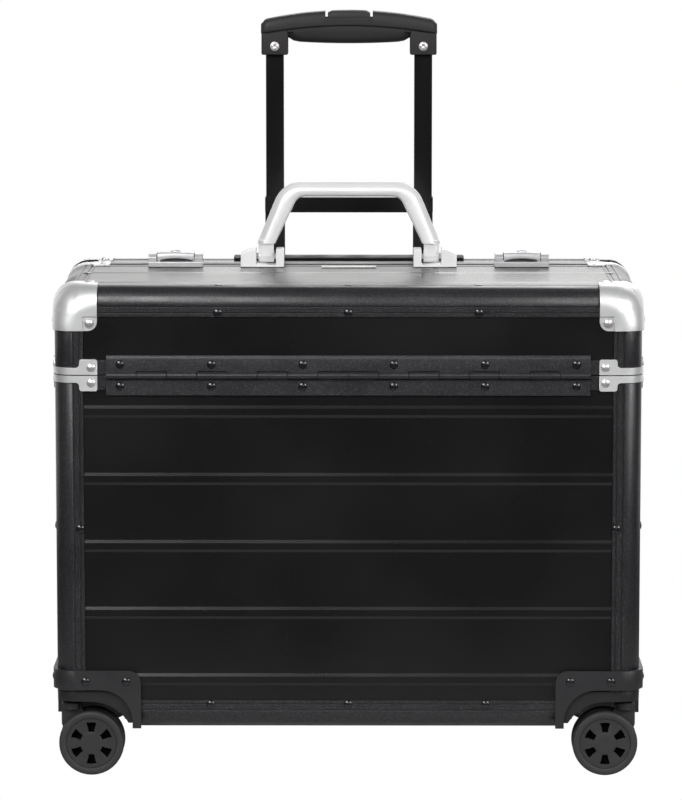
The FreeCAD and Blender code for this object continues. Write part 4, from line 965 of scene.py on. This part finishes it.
def grip_palm():
    """The rounded palm filler between the sockets."""
    mesh = bmesh.new()
    rings = []
    for i in range(21):
        x = PALM_HALF * (i / 10 - 1)
        share = abs(x) / PALM_HALF
        belly = PALM_BELLY + 2.0 * share * share + 3.5 * ease(0.86, 1.0, share)
        deep = PALM_DEEP - 0.8 * share
        roof = arch(x, LIP, LIP_ARCH) + 2.0
        half = [(-deep, roof), (-deep, roof - 4), (-deep + 0.8, belly + 6), (-deep + 3.0, belly + 2.6),
                (-deep + 6.5, belly + 0.7), (0.0, belly)]
        ring = half + [(-y, z) for y, z in reversed(half[:-1])]
        rings.append([Vector((x * MM, GRIP_Y + y * MM, z * MM)) for y, z in ring])
    loft(mesh, rings)
    bmesh.ops.recalc_face_normals(mesh, faces=mesh.faces)
    piece("grip_palm_pad", mesh, ["grip_palm"], [rounding(0.3, 2, 45)])


def release_button():
    """The button follows the shell's arch and slides down inside its well."""
    mesh = bmesh.new()
    rings = []
    for i in range(11):
        u = i / 5 - 1
        x = u * BUTTON_HALF
        top = arch(x, GRIP_TOP, GRIP_ARCH) - 1.6 * ease(0.86, 1.0, abs(u))
        half = [(-BUTTON_DEEP, WELL + BUTTON_FOOT), (-BUTTON_DEEP, top - 2.4), (-10.2, top - 0.9),
                (-8.6, top)]
        rings.append(mirrored_ring(x, half))
    loft(mesh, rings)
    bmesh.ops.recalc_face_normals(mesh, faces=mesh.faces)
    piece("release_push_button", mesh, ["release_button"], [rounding(0.35, 2, 35)])


def grip_screws():
    """Two cross-recessed screws in countersunk seats."""
    mesh = bmesh.new()
    for low, high in islands("grip_screws"):
        centre = Vector(((low.x + high.x) / 2, high.y, (low.z + high.z) / 2))
        rows = turned(mesh, metres(SCREW_HEAD), centre, (0, -1, 0), 32)
        hub = [vert.co.copy() for vert in rows[-1]]
        middle = sum(hub, Vector()) / len(hub)
        cross = []
        for i, point in enumerate(hub):
            arm = 1.0 if i % 8 < 2 or i % 8 > 6 else CROSS_WAIST
            cross.append(mesh.verts.new(middle + (point - middle) * arm + Vector((0, CROSS_DEPTH * MM, 0))))
        for i in range(len(hub)):
            j = (i + 1) % len(hub)
            mesh.faces.new((rows[-1][i], rows[-1][j], cross[j], cross[i]))
        mesh.faces.new(cross)
    bmesh.ops.recalc_face_normals(mesh, faces=mesh.faces)
    piece("grip_cross_screws", mesh, ["grip_screws"])


# ---- casters ---------------------------------------------------------------------------------------

TYRE = [(0.0, 20.5), (0.0, 24.6), (0.5, 25.6), (1.6, 26.2), (4.5, 26.4), (7.4, 26.2), (8.5, 25.6),
        (9.0, 24.6), (9.0, 20.9), (8.6, 20.5)]
TYRE_INNER = 4.5
BARREL = ((4.6, 0), (4.6, 20.0), (5.2, 20.5), (9.0, 20.5), (9.0, 19.2), (5.4, 18.4), (5.4, 0))
HUB = ((4.0, 0), (4.0, 4.6), (12.0, 4.6), (12.0, 0))
AXLE = ((-5.0, 0), (-5.0, 2.9), (5.0, 2.9), (5.0, 0))
WHEEL_HOLES = 6
WHEEL_TRAIL = 16.4
DISC_OUT = 12.6
DISC_THICK = 3.0
DISC_STEPS = 72
CAP_RADIUS = 9.0
CAP_RISE = 0.3
DISC_RADII = [4.6, 8.3, 9.3, 13.2, 17.2, 18.6, 20.5]
HOLE_HALVES = {2: 2.1, 3: 2.8, 4: 4.1}
HOLE_SPREAD = 3
WEB_HALF = 3.85
WEB_ROUND = 6.5
WEB_TOP = ((6.5, 36.0), (8.2, 41.0), (8.2, 57.0), (-8.2, 57.0), (-8.2, 53.5), (-12.0, 48.0))
STEM = ((52.8, 0), (52.8, 8.2), (58.2, 8.2), (59.0, 7.4), (59.0, 3.95), (67.5, 3.95), (67.5, 0))


def disc_face(mesh, centre, facing, depth):
    """One wheel disc's face: six tapered openings between a hub cap and a rim."""
    steps = DISC_STEPS
    rows = []
    for radius in DISC_RADII:
        raised = CAP_RISE if radius < CAP_RADIUS else 0.0
        row = []
        for i in range(steps):
            angle = 2 * math.pi * i / steps + math.pi / 2
            row.append(mesh.verts.new(centre + Vector((math.cos(angle) * radius, facing * (depth + raised),
                                                       math.sin(angle) * radius)) * MM))
        rows.append(row)
    sector = steps // WHEEL_HOLES
    for ring, half in HOLE_HALVES.items():
        radius = DISC_RADII[ring]
        for i in range(steps):
            near = (i + sector // 2) % sector - sector // 2
            if abs(near) == HOLE_SPREAD:
                base = 2 * math.pi * (i - near) / steps + math.pi / 2
                angle = base + math.copysign(math.asin(half / radius), near)
                rows[ring][i].co = centre + Vector((math.cos(angle) * radius, facing * depth,
                                                    math.sin(angle) * radius)) * MM
    cap = mesh.verts.new(centre + Vector((0, facing * (depth + CAP_RISE), 0)) * MM)
    faces = []
    for i in range(steps):
        faces.append(mesh.faces.new((cap, rows[0][i], rows[0][(i + 1) % steps])))
    for ring in range(len(DISC_RADII) - 1):
        for i in range(steps):
            near = (i + sector // 2) % sector - sector // 2
            if ring in (2, 3) and -HOLE_SPREAD <= near < HOLE_SPREAD:
                continue
            j = (i + 1) % steps
            faces.append(mesh.faces.new((rows[ring][i], rows[ring][j], rows[ring + 1][j], rows[ring + 1][i])))
    return faces


def caster_wheels(label):
    """Two openwork discs on an axle, each before a barrel painted near-black as shade in its openings, and
    their tyres.
    """
    hub_low, hub_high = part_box(f"{label}_caster_hubs")
    axle = (hub_low + hub_high) / 2
    mesh = bmesh.new()
    tyres = bmesh.new()
    for facing in (-1, 1):
        disc = bmesh.new()
        faces = disc_face(disc, axle, facing, DISC_OUT)
        extruded = bmesh.ops.extrude_face_region(disc, geom=faces)
        moved = [g for g in extruded["geom"] if isinstance(g, bmesh.types.BMVert)]
        bmesh.ops.translate(disc, verts=moved, vec=(0, -facing * DISC_THICK * MM, 0))
        bmesh.ops.recalc_face_normals(disc, faces=disc.faces)
        merge(mesh, disc)
        solid = len(mesh.faces)
        turned(mesh, metres(BARREL), axle, (0, facing, 0), 64)
        mesh.faces.ensure_lookup_table()
        # The barrels take the second slot: near-black painted shade behind the disc openings.
        for face in mesh.faces[solid:]:
            face.material_index = 1
        turned(mesh, metres(HUB), axle, (0, facing, 0), 32)
        closed = [(TYRE_INNER + distance, radius) for distance, radius in TYRE + TYRE[:1]]
        turned(tyres, metres(closed), axle, (0, facing, 0), 96)
    turned(mesh, metres(AXLE), axle, (0, 1, 0), 32)
    bmesh.ops.remove_doubles(tyres, verts=tyres.verts, dist=0.005 * MM)
    bmesh.ops.recalc_face_normals(mesh, faces=mesh.faces)
    bmesh.ops.recalc_face_normals(tyres, faces=tyres.faces)
    discs = piece(f"{label}_wheel_discs", mesh, [f"{label}_caster_hubs"], [rounding(0.3, 2, 40)])
    # The second slot holds the near-black painted shade for the barrels.
    discs.data.materials.append(RECESS_PAINTED_SHADE)
    piece(f"{label}_wheel_tyres", tyres, [f"{label}_caster_tyres"])
    return axle


def caster_fork(label, axle, outward):
    """The swivel head: a collar and stem, and a web between the wheels down to the axle."""
    swivel_x = axle.x + outward * WHEEL_TRAIL * MM
    mesh = bmesh.new()
    web = []
    for dx, z in WEB_TOP:
        web.append((swivel_x + outward * dx * MM, z * MM))
    for i in range(9):
        angle = math.radians(180 + 22.5 * i)
        web.append((axle.x + outward * WEB_ROUND * math.cos(angle) * MM,
                    axle.z + WEB_ROUND * math.sin(angle) * MM))
    prism(mesh, web, axle.y - WEB_HALF * MM, axle.y + WEB_HALF * MM)
    turned(mesh, metres(STEM), (swivel_x, axle.y, 0), (0, 0, 1), 40)
    bmesh.ops.recalc_face_normals(mesh, faces=mesh.faces)
    piece(f"{label}_swivel_head", mesh, [f"{label}_caster_fork"], [rounding(0.6, 3, 30)])


def casters():
    """All four casters."""
    for end in ("front", "rear"):
        for side, outward in (("left", -1), ("right", 1)):
            label = f"{end}_{side}"
            caster_fork(label, caster_wheels(label), outward)


# ---- everything ------------------------------------------------------------------------------------

SOFTENED = {"base_profiles": 0.25, "lid_profiles": 0.25, "base_seam_frame": 0.3, "lid_seam_frame": 0.3,
            "base_front_panel": 0.45, "base_side_panels": 0.45, "lid_top_panel": 0.45,
            "base_rear_panel": 0.3, "wheel_corner_brackets": 0.8, "wheel_housings": 0.5,
            "trolley_rails": 1.6, "trolley_lower_tubes": 1.8, "trolley_upper_tubes": 1.8,
            "trolley_bridge": 0.6, "trolley_bezel": 1.2, "trolley_foot": 1.0, "latch_keepers": 0.5,
            "name_plate": 0.4, "base_lining": 0.6, "lid_lining": 0.6, "floor_board": 0.5}

dress()
# The wheel housings take the darker copy: painted shade inside the arches.
NODES["wheel_housings"].data.materials[0] = HOUSING_PAINTED_SHADE
for node, width in SOFTENED.items():
    soften(node, width)
dome_rivets("base_rivets", "black_rivet_heads")
dome_rivets("lid_rivets", "lid_black_rivet_heads")
dome_rivets("base_bright_rivets", "bright_rivet_heads")
dome_rivets("lid_bright_rivets", "lid_bright_rivet_heads")
ball_corners("lid_ball_caps", "lid_ball_corners", CASE_LOW.y, 1)
ball_corners("rear_ball_caps", "rear_ball_corners", CASE_HIGH.y, -1)
seam_clips("base_seam_clips", "base_seam_brackets", -1)
seam_clips("lid_seam_clips", "lid_seam_brackets", 1)
hinge_leaf("upper", 0, 1, HINGE_UPPER)
hinge_leaf("lower", 1, -1, HINGE_LOWER)
carry_handle()
handle_brackets()
latch_housings()
for side, centre in LATCH_PLACES.items():
    latch_lever(side, centre)
    lock_cylinder(side)
grip_shell()
grip_palm()
release_button()
grip_screws()
casters()
